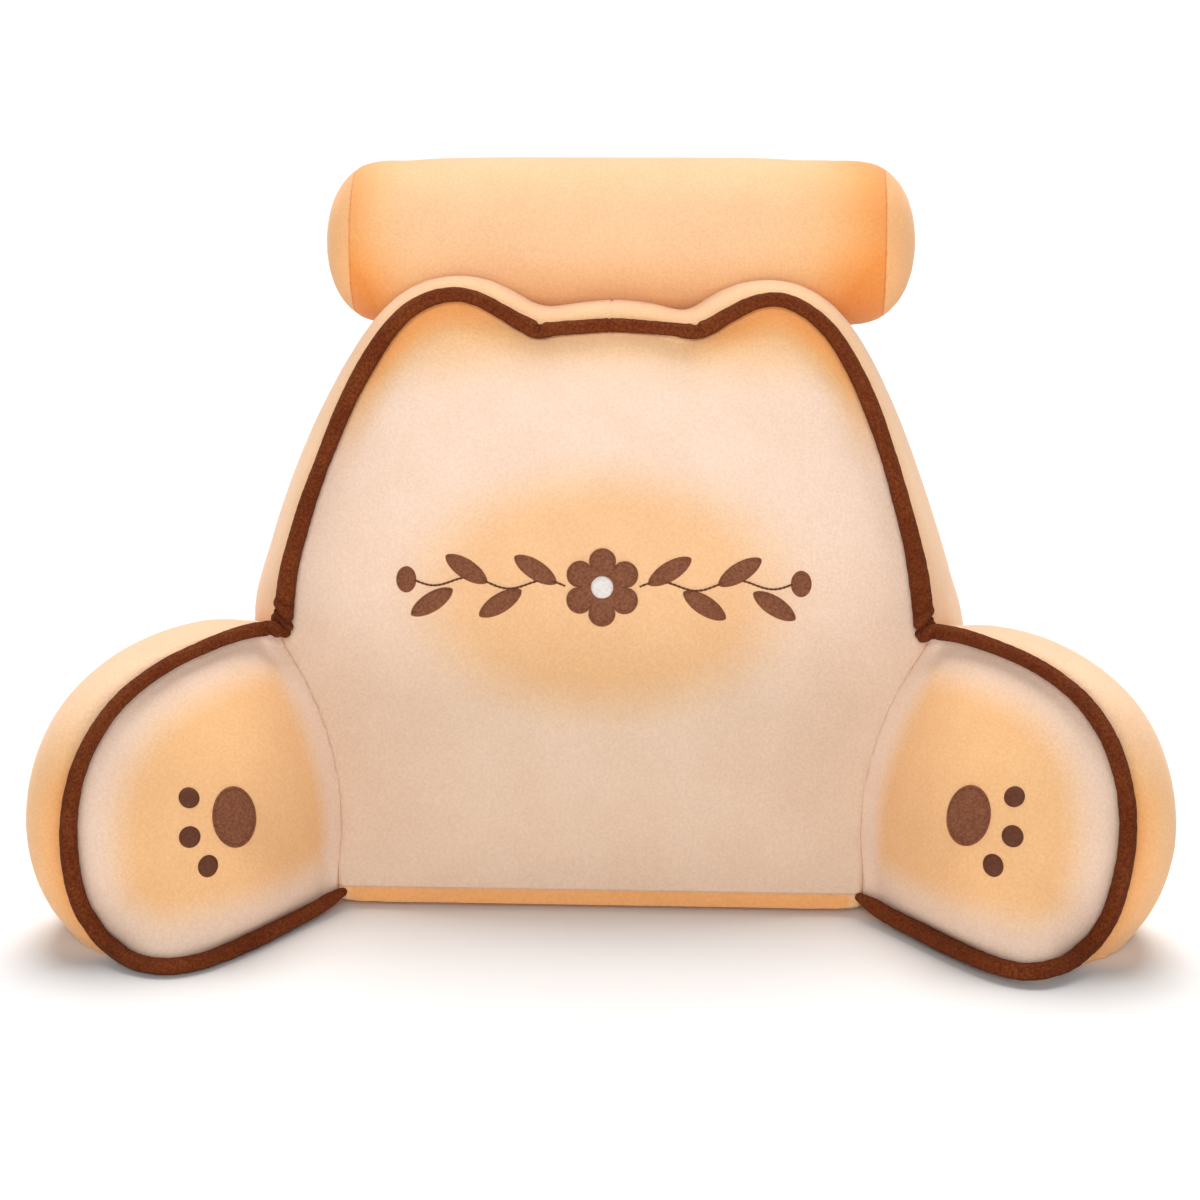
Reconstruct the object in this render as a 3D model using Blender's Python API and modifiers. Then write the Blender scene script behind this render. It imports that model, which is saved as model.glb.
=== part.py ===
"""Reading pillow with two arms and a neck roll, modelled in metres, +Z up.

The origin is the middle of the backrest's flat underside. The pillow faces -Y, and its left and right
arms reach forward and outward. Filled lobes are coarse cages smoothed by subdivision, cut flat where they
stand on the floor. Piping and appliques are seated on those lobes a fraction of a millimetre clear.
"""
import math

import bmesh
import bpy
from mathutils import Matrix, Vector
from mathutils.bvhtree import BVHTree

MM = 0.001
SIDES = {"left": -1, "right": 1}

# ---------------------------------------------------------------- driving dimensions
PANEL_LEAN = math.radians(15.0)      # the front panel leans back from upright
PANEL_FOOT_Y = -123 * MM             # front seam above the base strip
PANEL_FOOT_Z = 16.5 * MM             # height of that seam, the base strip's width
PANEL_MIDDLE = 205 * MM              # height up the slope of the middle of the front panel
PANEL_CROWN = 40 * MM                # how far the front panel swells forward
REAR_Y = 120 * MM                    # rear seam at the floor
REAR_LEAN = 12 * MM                  # the rear seam comes forward by this much at its top
REAR_MIDDLE = 190 * MM               # height of the middle of the rear panel
REAR_CROWN = 16 * MM
EAR_DRIFT = 6 * MM                   # the front panel's top is sewn on this far off centre

ARM_MIDDLE = Vector((272 * MM, -180 * MM, 78 * MM))         # middle of the right arm's inner panel
ARM_CROWN = 45 * MM                  # how far the inner panel swells from there
ARM_OUTER_CROWN = 14 * MM
ARM_HINGE = Vector((205 * MM, -100 * MM, 0))                # an arm is turned about the foot of its crease
ARM_SPLAY = {"left": 0.0, "right": math.radians(4.0)}      # and one sits a little wider than the other
ARM_FACING = Vector((-0.549, -0.756, 0.355)).normalized()   # the right arm's inner panel faces this way

ROLL_CENTRE = Vector((6 * MM, 92 * MM, 456 * MM))
ROLL_SIDES = 36

PIPING_RADIUS = 6.2 * MM
SEAM_DEPTH = 6.0 * MM                # a piped seam is drawn in behind its piping by this much
PIPING_STEP = 10.5 * MM
SEAT_GAP = 0.4 * MM                  # clearance between the neck roll and its seat
CREASE_GAP = 0.7 * MM                # clearance between an arm and the backrest
PIPING_GAP = 0.6 * MM
PATCH_LIFT = 0.9 * MM
PATCH_THICKNESS = 1.6 * MM

# Half outline of the backrest from the middle of the foot, round the side, to the middle of the top.
# width and height give the front seam (height runs up the leaning panel), rear_width and rear_height the
# rear seam, and bulge how far the boxing between them stands out. All in millimetres.
BACK_COLUMNS = ("width", "height", "rear_width", "rear_height", "bulge")
BACK_OUTLINE = (
    (0, 0, 0, 12, 46),
    (62, 0, 80, 12, 46),
    (125, 0, 160, 12, 46),
    (170, 1, 225, 14, 40),
    (187, 16, 262, 30, 26),
    (187, 52, 274, 62, 16),
    (194, 98, 275, 104, 16),
    (209, 144, 270, 148, 18),
    (234, 194, 258, 190, 21),
    (227, 240, 243, 232, 20),
    (215, 284, 229, 272, 19),
    (201, 328, 212, 309, 19),
    (181, 372, 190, 342, 20),
    (159, 406, 164, 366, 26),
    (138, 424, 140, 374, 29),
    (118, 431, 118, 377, 30),
    (99, 427, 98, 377, 30),
    (81, 417, 80, 376, 28),
    (60, 406, 60, 376, 22),
    (31, 407, 31, 376, 22),
    (0, 409, 0, 376, 22),
)
EAR_HEIGHT = max(row[1] for row in BACK_OUTLINE) * MM
BACK_JUNCTION = 8                    # the row where the arm's piping meets the backrest's
# Rings of the boxing (share of the way to the rear seam, share of the bulge) and of the panels (share of the
# way from the middle to the seam). The inner rings are rounder than the seam.
BOXING_STEPS = ((0.02, 0.45), (0.11, 0.76), (0.30, 1.0), (0.55, 0.98), (0.80, 0.72), (0.95, 0.32))
PANEL_STEPS = (0.30, 0.56, 0.78, 0.93)
REAR_STEPS = (0.90, 0.55)
CROWN_POWER = 2.3
ROUNDING_PASSES = 30

# Outline of the right arm, from its junction with the backrest over the top, round the end, along the
# floor and back up inside the backrest. x, y, z give the piped inner seam, ox, oy, oz the outer seam, and
# bulge how far the boxing between them stands out. All in millimetres.
ARM_COLUMNS = ("x", "y", "z", "ox", "oy", "oz", "bulge")
ARM_OUTLINE = (
    (237, -66, 195, 268, 8, 176, 4),
    (258, -88, 200, 290, -6, 181, 7),
    (280, -113, 200, 311, -26, 183, 10),
    (301, -140, 196, 331, -48, 182, 13),
    (321, -165, 186, 350, -70, 174, 18),
    (338, -188, 171, 365, -90, 160, 24),
    (351, -206, 149, 378, -107, 140, 29),
    (360, -217, 122, 386, -118, 115, 31),
    (364, -222, 92, 389, -124, 88, 33),
    (363, -224, 62, 388, -125, 60, 32),
    (357, -224, 34, 383, -122, 34, 29),
    (343, -218, 15, 371, -114, 18, 30),
    (322, -240, 9, 356, -100, 12, 40),
    (298, -254, 9, 340, -81, 10, 44),
    (275, -246, 9, 324, -60, 10, 44),
    (252, -216, 9, 308, -38, 10, 44),
    (229, -180, 9, 292, -17, 10, 44),
    (208, -147, 10, 277, 2, 10, 40),
    (188, -120, 14, 262, 18, 14, 30),
    (177, -92, 60, 252, 26, 60, 0),
    (183, -78, 113, 250, 26, 113, 0),
    (202, -66, 160, 254, 20, 155, 0),
)
ARM_PIPED = 19                       # the first rows of the outline carry piping

# Half profile of the neck roll, from the middle to the pole of an end cap, with the cap's seam drawn in.
ROLL_COLUMNS = ("along", "radius")
ROLL_PROFILE = (
    (0, 65.0), (90, 65.0), (145, 64.4), (170, 63.0), (185, 60.8), (194, 58.2), (198, 55.4),
    (202, 53.0), (209.5, 45.0), (215.6, 34.5), (219.5, 22.0), (221.5, 10.0), (222, 0),
)

# Appliques. Places are millimetres across and up from the middle of the panel they lie on.
PAW_PLACE = {"left": (1, 8.5), "right": (0, 16)}
PAW_PAD_SIZE = (32, 44)
PAW_TOE_SIZE = (13.5, 15)
PAW_TOES = ((27, 19), (32, -7.5), (23.5, -29.5))
MOTIF_HEIGHT = 221 * MM              # height of the motif up the leaning front panel
FLOWER_SIZE = 56
FLOWER_PETALS = 6
FLOWER_CENTRE_SIZE = 17
LEAF_SIZE = (36, 14)
LEAF_FULLNESS = 0.8
LEAF_TILT = math.radians(32)
LEAF_FIRST, LEAF_STEP, LEAF_RISE = 48, 25, 12        # places of the leaves along a sprig
LEAVES = 4
BUD_SIZE = (15, 19)
BUD_PLACE = (142, 4)

COLOURS = {
    "plush_cream": ((0.83, 0.64, 0.46, 1.0), 0.95),
    "plush_brown": ((0.10, 0.035, 0.016, 1.0), 0.95),
    "applique_brown": ((0.11, 0.045, 0.022, 1.0), 0.85),
    "applique_white": ((0.90, 0.88, 0.84, 1.0), 0.85),
}


# ---------------------------------------------------------------- helpers
def clear_scene():
    """Remove every object, so that the pillow is modelled in an empty scene."""
    for thing in list(bpy.data.objects):
        bpy.data.objects.remove(thing, do_unlink=True)


def new_collection(name):
    """Make a collection in the scene."""
    group = bpy.data.collections.new(name)
    bpy.context.scene.collection.children.link(group)
    return group


def new_material(name):
    """A plain finish with the colour and roughness named in COLOURS."""
    colour, roughness = COLOURS[name]
    finish = bpy.data.materials.new(name)
    finish.use_nodes = True
    shader = finish.node_tree.nodes["Principled BSDF"]
    shader.inputs["Base Color"].default_value = colour
    shader.inputs["Roughness"].default_value = roughness
    shader.inputs["Metallic"].default_value = 0.0
    finish.diffuse_color = colour
    return finish


def add_object(name, data, group, finish):
    """Link a new object of its own name and material to a collection."""
    thing = bpy.data.objects.new(name, data)
    group.objects.link(thing)
    if finish is not None:
        data.materials.append(finish)
    return thing


def rows(columns, table):
    """Read a short table as named values in metres."""
    return [{key: value * MM for key, value in zip(columns, line)} for line in table]


def evaluated_mesh(thing):
    """The mesh of an object with its modifiers applied, in world space."""
    bpy.context.view_layer.update()
    graph = bpy.context.evaluated_depsgraph_get()
    mesh = bpy.data.meshes.new_from_object(thing.evaluated_get(graph))
    mesh.transform(thing.matrix_world)
    return mesh


def surface_tree(thing):
    """A search tree over an object's evaluated surface."""
    mesh = evaluated_mesh(thing)
    shape = bmesh.new()
    shape.from_mesh(mesh)
    tree = BVHTree.FromBMesh(shape)
    shape.free()
    bpy.data.meshes.remove(mesh)
    return tree


def smooth_route(points, step):
    """A Catmull-Rom curve through the points, sampled at even steps."""
    dense = []
    last = len(points) - 1
    for i in range(last):
        before, start = points[max(i - 1, 0)], points[i]
        end, after = points[i + 1], points[min(i + 2, last)]
        for k in range(16):
            t = k / 16
            dense.append(0.5 * (2 * start + (end - before) * t
                                + (2 * before - 5 * start + 4 * end - after) * t * t
                                + (3 * start - before - 3 * end + after) * t ** 3))
    dense.append(points[-1].copy())
    length = sum((b - a).length for a, b in zip(dense, dense[1:]))
    count = max(2, round(length / step))
    spacing = length / count
    even, travelled, wanted = [dense[0]], 0.0, spacing
    for a, b in zip(dense, dense[1:]):
        run = (b - a).length
        while wanted <= travelled + run + 1e-9 and len(even) < count:
            even.append(a.lerp(b, (wanted - travelled) / run))
            wanted += spacing
        travelled += run
    even.append(dense[-1])
    return even


# ---------------------------------------------------------------- filled lobes
def boxing_normals(front, rear):
    """Unit directions in which the boxing between two closed seams bulges out."""
    middle = [f.lerp(r, 0.5) for f, r in zip(front, rear)]
    centre = sum(middle, Vector()) / len(middle)
    count = len(middle)
    normals = []
    for i in range(count):
        along = middle[(i + 1) % count] - middle[i - 1]
        normals.append(along.cross(rear[i] - front[i]).normalized())
    facing = sum(n.dot(m - centre) for n, m in zip(normals, middle))
    return [n if facing > 0 else -n for n in normals]


def rounded(loop, passes):
    """A closed loop smoothed by averaging each point with its neighbours."""
    for _ in range(passes):
        loop = [0.5 * loop[i] + 0.25 * (loop[i - 1] + loop[(i + 1) % len(loop)]) for i in range(len(loop))]
    return loop


def panel_rings(seam, centre, normal, crown, steps):
    """Rings of a crowned panel inside its seam, from the inner ring outward."""
    rings = []
    for step in steps:
        lift = normal * crown * (1 - step ** CROWN_POWER)
        softer = rounded(seam, round(ROUNDING_PASSES * (1 - step)))
        rings.append([centre.lerp(point, step) + lift for point in softer])
    return rings


def filled_lobe(name, front, rear, bulges, front_panel, rear_panel, piped):
    """Loft a stuffed lobe: crowned front panel, bulging boxing, crowned rear panel.

    The front seam is drawn in where it is piped, so that the piping lies on the line of the outline.
    """
    outward = boxing_normals(front, rear)
    centre_f, normal_f, crown_f = front_panel
    centre_r, normal_r, crown_r = rear_panel
    rings = panel_rings(front, centre_f, normal_f, crown_f, PANEL_STEPS)
    rings.append([point - (n + 0.8 * normal_f) * SEAM_DEPTH if i in piped else point
                  for i, (point, n) in enumerate(zip(front, outward))])
    for across, swell in BOXING_STEPS:
        rings.append([f.lerp(r, across) + n * bulge * swell
                      for f, r, n, bulge in zip(front, rear, outward, bulges)])
    rings.append(rear)
    rings += panel_rings(rear, centre_r, normal_r, crown_r, REAR_STEPS)

    shape = bmesh.new()
    loops = [[shape.verts.new(point) for point in ring] for ring in rings]
    count = len(front)
    for inner, outer in zip(loops, loops[1:]):
        for i in range(count):
            j = (i + 1) % count
            shape.faces.new((inner[i], inner[j], outer[j], outer[i]))
    poles = (shape.verts.new(centre_f + normal_f * crown_f), shape.verts.new(centre_r + normal_r * crown_r))
    for pole, loop in zip(poles, (loops[0], loops[-1])):
        for i in range(count):
            shape.faces.new((pole, loop[i], loop[(i + 1) % count]))
    bmesh.ops.recalc_face_normals(shape, faces=shape.faces)
    mesh = bpy.data.meshes.new(name)
    shape.to_mesh(mesh)
    shape.free()
    mesh.shade_smooth()
    return mesh


def soften(thing):
    """Smooth a coarse cage into a soft form."""
    smooth = thing.modifiers.new("soft form", "SUBSURF")
    smooth.levels = 1
    smooth.render_levels = 1


def cut(thing, cutter, label):
    """Take the cutter's space out of a piece."""
    boolean = thing.modifiers.new(label, "BOOLEAN")
    boolean.operation = "DIFFERENCE"
    boolean.solver = "EXACT"
    boolean.object = cutter


def make_cutter(name, mesh, group):
    """A hidden wire object that only shapes others."""
    cutter = add_object(name, mesh, group, None)
    cutter.hide_render = True
    cutter.display_type = "WIRE"
    return cutter


def panel_point(width, height):
    """A point on the leaning plane of the front panel's seam."""
    drift = EAR_DRIFT * (height / EAR_HEIGHT) ** 2
    return Vector((width + drift, PANEL_FOOT_Y + height * math.sin(PANEL_LEAN),
                   PANEL_FOOT_Z + height * math.cos(PANEL_LEAN)))


PANEL_FACING = Vector((0, -math.cos(PANEL_LEAN), math.sin(PANEL_LEAN)))


def backrest_seams():
    """Closed front and rear seams of the backrest, mirrored from the half outline, with the bulges."""
    table = rows(BACK_COLUMNS, BACK_OUTLINE)
    top = max(row["rear_height"] for row in table)
    closed = [(1, row) for row in table] + [(-1, row) for row in reversed(table[1:-1])]
    front = [panel_point(side * row["width"], row["height"]) for side, row in closed]
    rear = [Vector((side * row["rear_width"], REAR_Y - REAR_LEAN * row["rear_height"] / top,
                    row["rear_height"])) for side, row in closed]
    return front, rear, [row["bulge"] for side, row in closed]


def back_piped(front):
    """The rows of the closed front seam that carry piping, from one arm junction to the other."""
    return range(BACK_JUNCTION, len(front) - BACK_JUNCTION + 1)


def arm_seams():
    """Closed inner and outer seams of the right arm, with the bulges."""
    table = rows(ARM_COLUMNS, ARM_OUTLINE)
    inner = [Vector((row["x"], row["y"], row["z"])) for row in table]
    outer = [Vector((row["ox"], row["oy"], row["oz"])) for row in table]
    return inner, outer, [row["bulge"] for row in table]


def middle_of(points):
    """The mean of some points."""
    return sum(points, Vector()) / len(points)


def floor_cutter(group):
    """A block under the floor plane, which cuts the lobes flat where they stand."""
    shape = bmesh.new()
    bmesh.ops.create_cube(shape, size=1.0)
    bmesh.ops.scale(shape, verts=shape.verts, vec=(1.4, 1.0, 0.2))
    bmesh.ops.translate(shape, verts=shape.verts, vec=(0, 0, -0.1))
    mesh = bpy.data.meshes.new("floor_cutter")
    shape.to_mesh(mesh)
    shape.free()
    return make_cutter("floor_cutter", mesh, group)


def roll_mesh(name, extra):
    """The neck roll turned about its own axis, grown by a clearance."""
    half = rows(ROLL_COLUMNS, ROLL_PROFILE)
    right = [Vector((row["along"] + extra, 0, row["radius"] + (extra if row["radius"] > 0 else 0)))
             for row in half]
    left = [Vector((-point.x, 0, point.z)) for point in reversed(right[1:])]
    shape = bmesh.new()
    verts = [shape.verts.new(point) for point in left + right]
    edges = [shape.edges.new(pair) for pair in zip(verts, verts[1:])]
    bmesh.ops.spin(shape, geom=verts + edges, cent=(0, 0, 0), axis=(1, 0, 0), angle=2 * math.pi,
                   steps=ROLL_SIDES, use_merge=True)
    bmesh.ops.remove_doubles(shape, verts=shape.verts, dist=0.01 * MM)
    bmesh.ops.recalc_face_normals(shape, faces=shape.faces)
    mesh = bpy.data.meshes.new(name)
    shape.to_mesh(mesh)
    shape.free()
    mesh.shade_smooth()
    return mesh


# ---------------------------------------------------------------- piping and appliques
def seated(point, trees, distance):
    """Move a point so that it lies a given distance off the surfaces near it."""
    for _ in range(4):
        for tree in trees:
            spot, normal, _, gap = tree.find_nearest(point)
            away = point - spot
            outside = away.dot(normal) > 0
            if tree is trees[0] or gap < distance or not outside:
                direction = away.normalized() if outside and gap > 1e-6 else normal
                point = spot + direction * distance
    return point


def piping(name, route, trees, group, finish):
    """A fat tube that lies along a seam."""
    centres = [seated(point, trees, PIPING_RADIUS + PIPING_GAP) for point in route]
    curve = bpy.data.curves.new(name, "CURVE")
    curve.dimensions = "3D"
    curve.bevel_depth = PIPING_RADIUS
    curve.bevel_resolution = 2
    curve.use_fill_caps = True
    spline = curve.splines.new("POLY")
    spline.points.add(len(centres) - 1)
    for knot, centre in zip(spline.points, centres):
        knot.co = (*centre, 1.0)
    return add_object(name, curve, group, finish)


def ellipse(width, height, count):
    """Points round an ellipse whose size is given in millimetres."""
    turns = [2 * math.pi * i / count for i in range(count)]
    return [Vector((0.5 * width * MM * math.cos(turn), 0.5 * height * MM * math.sin(turn))) for turn in turns]


def applique(name, outline, place, panel, group, finish, rings=(0.4, 0.75, 1.0), lift=PATCH_LIFT):
    """A flat cloth shape laid on a crowned panel, following its surface."""
    tree, origin, across, up, facing = panel
    centre = Vector(place)

    def lay(offset):
        spot = origin + across * (centre.x + offset.x) + up * (centre.y + offset.y)
        hit, normal, _, _ = tree.ray_cast(spot + facing * 0.15, -facing)
        return hit + normal * lift

    shape = bmesh.new()
    pole = shape.verts.new(lay(Vector((0, 0))))
    loops = [[shape.verts.new(lay(point * step)) for point in outline] for step in rings]
    count = len(outline)
    for i in range(count):
        shape.faces.new((pole, loops[0][i], loops[0][(i + 1) % count]))
    for inner, outer in zip(loops, loops[1:]):
        for i in range(count):
            j = (i + 1) % count
            shape.faces.new((inner[i], outer[i], outer[j], inner[j]))
    shape.normal_update()
    if sum((face.normal for face in shape.faces), Vector()).dot(facing) < 0:
        bmesh.ops.reverse_faces(shape, faces=shape.faces)
    mesh = bpy.data.meshes.new(name)
    shape.to_mesh(mesh)
    shape.free()
    patch = add_object(name, mesh, group, finish)
    thick = patch.modifiers.new("cloth", "SOLIDIFY")
    thick.thickness = PATCH_THICKNESS
    thick.offset = 1.0
    return patch


def flower_outline(size, petals, count):
    """A round-petalled flower; its size is given in millimetres."""
    points = []
    for i in range(count):
        turn = 2 * math.pi * i / count
        reach = 0.5 * size * MM * (0.60 + 0.40 * math.sqrt(abs(math.cos(0.5 * petals * turn))))
        points.append(Vector((reach * math.sin(turn), reach * math.cos(turn))))
    return points


def leaf_outline(length, width, angle, half_count):
    """A pointed leaf along the given direction; its size is given in millimetres."""
    points = []
    for side in (1, -1):
        for i in range(half_count):
            t = i / half_count
            along = length * MM * (t - 0.5) * side
            across = 0.5 * width * MM * math.sin(math.pi * t) ** LEAF_FULLNESS * side
            points.append(Matrix.Rotation(angle, 2) @ Vector((along, -across)))
    return points


# ---------------------------------------------------------------- the pillow's pieces
def build_roll(group):
    """The neck roll behind the ears."""
    roll = add_object("neck_roll", roll_mesh("neck_roll", 0.0), group, new_material("plush_cream"))
    roll.location = ROLL_CENTRE
    return roll


def build_backrest(group, cutters, floor):
    """The boxed backrest with its two ears, dented by the neck roll that lies on its shoulder."""
    front, rear, bulges = backrest_seams()
    front_panel = (panel_point(0, PANEL_MIDDLE), PANEL_FACING, PANEL_CROWN)
    rear_panel = (Vector((0, REAR_Y - REAR_LEAN / 2, REAR_MIDDLE)), Vector((0, 1, 0)), REAR_CROWN)
    mesh = filled_lobe("backrest", front, rear, bulges, front_panel, rear_panel, back_piped(front))
    backrest = add_object("backrest", mesh, group, bpy.data.materials["plush_cream"])
    roll_cutter = make_cutter("roll_cutter", roll_mesh("roll_cutter", SEAT_GAP), cutters)
    roll_cutter.location = ROLL_CENTRE
    soften(backrest)
    cut(backrest, floor, "flat foot")
    cut(backrest, roll_cutter, "roll seat")
    return backrest


def backrest_clearance(backrest, cutters):
    """The backrest grown by a hair, which shapes the roots of the arms."""
    mesh = evaluated_mesh(backrest)
    mesh.name = "backrest_cutter"
    mesh.materials.clear()
    for vertex, normal in zip(mesh.vertices, [v.normal.copy() for v in mesh.vertices]):
        vertex.co += normal * CREASE_GAP
    return make_cutter("backrest_cutter", mesh, cutters)


def sided(vector, side):
    """Mirror a vector of the right arm to the given side."""
    return Vector((side * vector.x, vector.y, vector.z))


def arm_place(point, label):
    """Put a point of the right arm's table on the named arm, at that arm's own splay."""
    turned = Matrix.Rotation(ARM_SPLAY[label], 3, "Z") @ (point - ARM_HINGE) + ARM_HINGE
    return sided(turned, SIDES[label])


def arm_direction(vector, label):
    """Turn a direction of the right arm to the named arm."""
    return sided(Matrix.Rotation(ARM_SPLAY[label], 3, "Z") @ vector, SIDES[label])


def build_arm(label, group, floor, clearance):
    """One filled arm, cut to fit the backrest that it is sewn to."""
    inner, outer, bulges = arm_seams()
    inner = [arm_place(point, label) for point in inner]
    outer = [arm_place(point, label) for point in outer]
    facing = arm_direction(ARM_FACING, label)
    inner_panel = (arm_place(ARM_MIDDLE, label), facing, ARM_CROWN)
    outer_panel = (middle_of(outer), -facing, ARM_OUTER_CROWN)
    mesh = filled_lobe("arm_" + label, inner, outer, bulges, inner_panel, outer_panel, range(ARM_PIPED))
    arm = add_object("arm_" + label, mesh, group, bpy.data.materials["plush_cream"])
    soften(arm)
    cut(arm, floor, "flat foot")
    cut(arm, clearance, "crease")
    return arm


def back_piping_route():
    """Centres for the piping over the ears, from the right junction to the left one."""
    front, _, _ = backrest_seams()
    return smooth_route([front[i] for i in back_piped(front)], PIPING_STEP)


def arm_piping_route(label, away_from):
    """Centres for the piping round an arm's inner panel, clear of the backrest piping's end."""
    inner, _, _ = arm_seams()
    route = smooth_route([arm_place(point, label) for point in inner[:ARM_PIPED]], PIPING_STEP)
    reach = 2 * PIPING_RADIUS + 2 * PIPING_GAP
    while (route[0] - away_from).length < reach:
        route.pop(0)
    return route


def arm_panel_frame(arm, label):
    """Search tree, origin and axes for laying appliques on an arm's inner panel."""
    facing = arm_direction(ARM_FACING, label)
    across = SIDES[label] * Vector((-facing.y, facing.x, 0)).normalized()
    up = (Vector((0, 0, 1)) - facing * facing.z).normalized()
    return surface_tree(arm), arm_place(ARM_MIDDLE, label), across, up, facing


def build_paw(label, arm, group, finish):
    """A pad and three toes on an arm's inner panel."""
    panel = arm_panel_frame(arm, label)
    place = Vector(PAW_PLACE[label]) * MM
    pad = ellipse(*PAW_PAD_SIZE, count=20)
    applique(f"paw_{label}_pad", pad, place, panel, group, finish)
    for number, offset in enumerate(PAW_TOES, start=1):
        toe = ellipse(*PAW_TOE_SIZE, count=12)
        applique(f"paw_{label}_toe_{number}", toe, place + Vector(offset) * MM, panel, group, finish,
                 rings=(1.0,))


def build_motif(backrest, group, brown, white):
    """A flower with a leafy sprig on each side, in the middle of the front panel."""
    panel = (surface_tree(backrest), panel_point(0, MOTIF_HEIGHT), Vector((1, 0, 0)),
             Vector((0, math.sin(PANEL_LEAN), math.cos(PANEL_LEAN))), PANEL_FACING)
    flower = flower_outline(FLOWER_SIZE, FLOWER_PETALS, count=48)
    applique("motif_flower", flower, (0, 0), panel, group, brown)
    centre = ellipse(FLOWER_CENTRE_SIZE, FLOWER_CENTRE_SIZE, count=16)
    applique("motif_flower_centre", centre, (0, 0), panel, group, white,
             rings=(1.0,), lift=2 * PATCH_LIFT + PATCH_THICKNESS)
    for label, side in SIDES.items():
        for number in range(LEAVES):
            above = 1 if number % 2 == 0 else -1
            place = Vector((side * (LEAF_FIRST + LEAF_STEP * number), LEAF_RISE * above)) * MM
            leaf = leaf_outline(*LEAF_SIZE, angle=side * above * LEAF_TILT, half_count=7)
            applique(f"motif_leaf_{label}_{number + 1}", leaf, place, panel, group, brown, rings=(1.0,))
        bud = ellipse(*BUD_SIZE, count=12)
        place = Vector((side * BUD_PLACE[0], BUD_PLACE[1])) * MM
        applique(f"motif_bud_{label}", bud, place, panel, group, brown, rings=(1.0,))


def main():
    """Model the whole pillow."""
    clear_scene()
    pillow = new_collection("reading_pillow")
    cutters = new_collection("cutters")
    floor = floor_cutter(cutters)
    build_roll(pillow)
    backrest = build_backrest(pillow, cutters, floor)
    clearance = backrest_clearance(backrest, cutters)
    brown_plush = new_material("plush_brown")
    brown = new_material("applique_brown")
    white = new_material("applique_white")

    route = back_piping_route()
    backrest_tree = surface_tree(backrest)
    piping("piping_back", route, [backrest_tree], pillow, brown_plush)
    ends = {"right": route[0], "left": route[-1]}
    for label in SIDES:
        arm = build_arm(label, pillow, floor, clearance)
        trees = [surface_tree(arm), backrest_tree]
        piping(f"piping_arm_{label}", arm_piping_route(label, ends[label]), trees, pillow, brown_plush)
        build_paw(label, arm, pillow, brown)
    build_motif(backrest, pillow, brown, white)


main()
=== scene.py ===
# %% [markdown]
# # Dressing a reading pillow with arms
#
# The pillow is a stuffed backrest with two ears, two stuffed arms sewn to its sides, and a neck roll that
# lies behind the ears. All of it is short-pile plush, airbrushed from cream to a toasted orange, and its
# seams carry a fat piping of brown plush. The CAD frame already holds every piece at its real size, so this
# notebook keeps each piece where the frame has it and gives it a filled, sewn and velvety surface.

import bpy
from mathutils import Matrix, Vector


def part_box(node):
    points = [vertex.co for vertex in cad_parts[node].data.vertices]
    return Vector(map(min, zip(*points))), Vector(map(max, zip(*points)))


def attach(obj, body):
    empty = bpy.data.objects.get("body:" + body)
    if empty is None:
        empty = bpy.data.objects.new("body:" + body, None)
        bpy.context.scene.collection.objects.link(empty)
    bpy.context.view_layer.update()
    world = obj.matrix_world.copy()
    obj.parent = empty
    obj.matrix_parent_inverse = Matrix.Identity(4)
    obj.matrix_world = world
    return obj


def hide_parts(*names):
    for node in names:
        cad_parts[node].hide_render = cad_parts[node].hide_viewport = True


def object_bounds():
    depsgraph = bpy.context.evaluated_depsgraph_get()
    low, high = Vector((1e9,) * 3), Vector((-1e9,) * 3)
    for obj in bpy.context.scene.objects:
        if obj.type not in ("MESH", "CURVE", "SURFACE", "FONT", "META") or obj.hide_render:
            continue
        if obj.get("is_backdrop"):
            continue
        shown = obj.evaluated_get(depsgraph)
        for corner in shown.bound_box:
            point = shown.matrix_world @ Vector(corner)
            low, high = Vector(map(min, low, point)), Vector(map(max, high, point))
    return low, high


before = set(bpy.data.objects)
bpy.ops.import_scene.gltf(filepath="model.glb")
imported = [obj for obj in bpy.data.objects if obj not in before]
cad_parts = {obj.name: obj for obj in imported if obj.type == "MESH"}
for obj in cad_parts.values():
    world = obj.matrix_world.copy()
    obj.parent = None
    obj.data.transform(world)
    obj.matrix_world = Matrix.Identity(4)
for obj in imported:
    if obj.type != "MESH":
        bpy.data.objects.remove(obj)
cad_low, cad_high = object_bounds()
print("the frame has", len(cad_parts), "nodes")

# %% Tools and units
import math

import bmesh
import bpy
import numpy as np
from mathutils import Matrix, Vector, noise
from mathutils.bvhtree import BVHTree
from mathutils.kdtree import KDTree

MM = 0.001
SIDES = {"left": -1, "right": 1}
BODY = "root"
scene = bpy.context.scene


def added(name, data):
    """A new object in the scene that holds the given data."""
    made = bpy.data.objects.new(name, data)
    scene.collection.objects.link(made)
    return made


def opened(mesh):
    """A mesh as a bmesh, for its operators."""
    shape = bmesh.new()
    shape.from_mesh(mesh)
    return shape


def closed(shape, mesh):
    """Write a bmesh back into a mesh."""
    shape.to_mesh(mesh)
    shape.free()
    return mesh


print("working in", scene.name, "with millimetres of", MM, "metres")

# %% [markdown]
# ## Camera
#
# The picture was taken from a little above the ears with a long lens, almost square on. A camera can be
# placed by eye, but here its place was worked out from the seams, so that the model lines up with the
# picture. The camera aims along a direction given by a turn about the upright and a tilt below the horizon.

# %% Camera
CAMERA_PLACE = Vector((0.0858, -2.0712, 0.8000))
CAMERA_TURN = math.radians(2.5)
CAMERA_TILT = math.radians(16.12)
CAMERA_LENS = 85.81

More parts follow.
